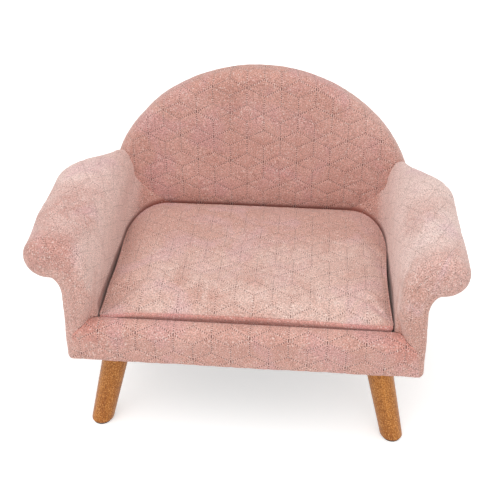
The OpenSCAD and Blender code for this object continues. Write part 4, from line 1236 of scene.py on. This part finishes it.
make_arm(-1, "left_arm_skin", "left_arm_cover", left_arm_cloth)
make_arm(1, "right_arm_skin", "right_arm_cover", right_arm_cloth)
make_arm_post(-1, "left_arm_post", ply_upright)
make_arm_post(1, "right_arm_post", ply_upright)
make_front_rail(cover)
make_back(back_cloth)
make_rear_panel(back_cloth, welt_cloth)
make_cushion(cushion_cloth, border_cloth, cushion_welt_cloth, foam)
make_mitre_seams(seam_shade_thread)
for place in ("front_left", "front_right", "rear_left", "rear_right"):
    make_leg(place + "_leg", wood)
make_zip_teeth(zip_metal)

finishes = (
    (pine, "front_rail_board corner_blocks rear_cleat"),
    (pine_long, "left_side_rail right_side_rail left_rear_post right_rear_post deck_cleats centre_slat"),
    (ply_upright, "back_board left_arm_rib right_arm_rib"),
    (ply_level, "seat_deck"),
    (card, "left_side_panel right_side_panel left_roll_tube right_roll_tube"),
    (zinc, "frame_screws leg_plates hanger_bolts plate_screws"),
    (felt, "front_left_glide front_right_glide rear_left_glide rear_right_glide"),
    (dust_cloth, "dust_cover"),
    (zip_cloth, "zip_tape"),
    (zip_metal, "zip_slider"),
)
for material, nodes in finishes:
    for node in nodes.split():
        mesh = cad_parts[node].data
        mesh.materials.clear()
        mesh.materials.append(material)


# Floor, light and camera


def seen_directly(tree):
    """1 for rays from the camera and for reflections, else 0."""
    rays = add_node(tree, "LightPath").outputs
    return add_node(tree, "Math", rays["Is Camera Ray"], rays["Is Glossy Ray"], operation="MAXIMUM").outputs[0]


def make_floor():
    """A pale floor that is white to the camera and keeps the sofa's soft shadow. From below it is clear."""
    bpy.ops.mesh.primitive_plane_add(size=12, location=(0, 0, -0.2 * MM))
    floor = bpy.context.object
    floor.name = "floor"
    finish = Finish("pale_floor", 0.9, specular=0.1)
    finish.colour((0.9, 0.9, 0.9))
    tree, lit = finish.tree, finish.shader.outputs[0]
    glow = finish.node("Emission", None, 0.42).outputs[0]
    both = finish.node("AddShader", lit, glow).outputs[0]
    above = finish.node("MixShader", seen_directly(tree), lit, both).outputs[0]
    from_below = finish.node("NewGeometry").outputs["Backfacing"]
    clear = finish.node("BsdfTransparent").outputs[0]
    surface = finish.node("MixShader", from_below, above, clear).outputs[0]
    put(tree, tree.nodes["Material Output"].inputs["Surface"], surface)
    floor.data.materials.append(finish.material)


def make_world(strength):
    """Even daylight from all sides, and a white backdrop where the camera or a reflection sees it."""
    world = bpy.data.worlds.new("daylight")
    bpy.context.scene.world = world
    world.use_nodes = True
    tree = world.node_tree
    light = tree.nodes["Background"]
    put(tree, light.inputs["Color"], (1.0, 0.99, 0.975))
    put(tree, light.inputs["Strength"], strength)
    white = add_node(tree, "Background", (1.0, 1.0, 1.0)).outputs[0]
    surface = add_node(tree, "MixShader", seen_directly(tree), light.outputs[0], white).outputs[0]
    put(tree, tree.nodes["World Output"].inputs["Surface"], surface)


def make_lamp(name, place, aim, size, watts):
    """A square soft lamp at place, turned to face aim."""
    data = bpy.data.lights.new(name, "AREA")
    data.size, data.energy = size, watts
    lamp = show(name, data)
    lamp.location = place
    lamp.rotation_euler = (Vector(aim) - Vector(place)).to_track_quat("-Z", "Y").to_euler()


def make_camera():
    """The photograph's viewpoint: a 57.6 mm lens on a 36 mm square frame, 35 degrees down and 4.6 to the side."""
    data = bpy.data.cameras.new("camera")
    data.lens, data.sensor_width = 57.58, 36
    camera = show("camera", data)
    camera.location = (0.07838, -1.03474, 0.96761)
    camera.rotation_euler = np.radians((90 - 35.054, 0.0066, 4.575))
    bpy.context.scene.camera = camera


make_floor()
make_world(0.77)
make_lamp("overhead", (-0.45, -0.8, 2.2), (0, 0, 0.25), 1.7, 20)
make_lamp("front_fill", (0.9, -2.2, 1.3), (0, 0, 0.25), 1.8, 8)
make_camera()
bpy.context.scene.view_settings.view_transform = "Standard"
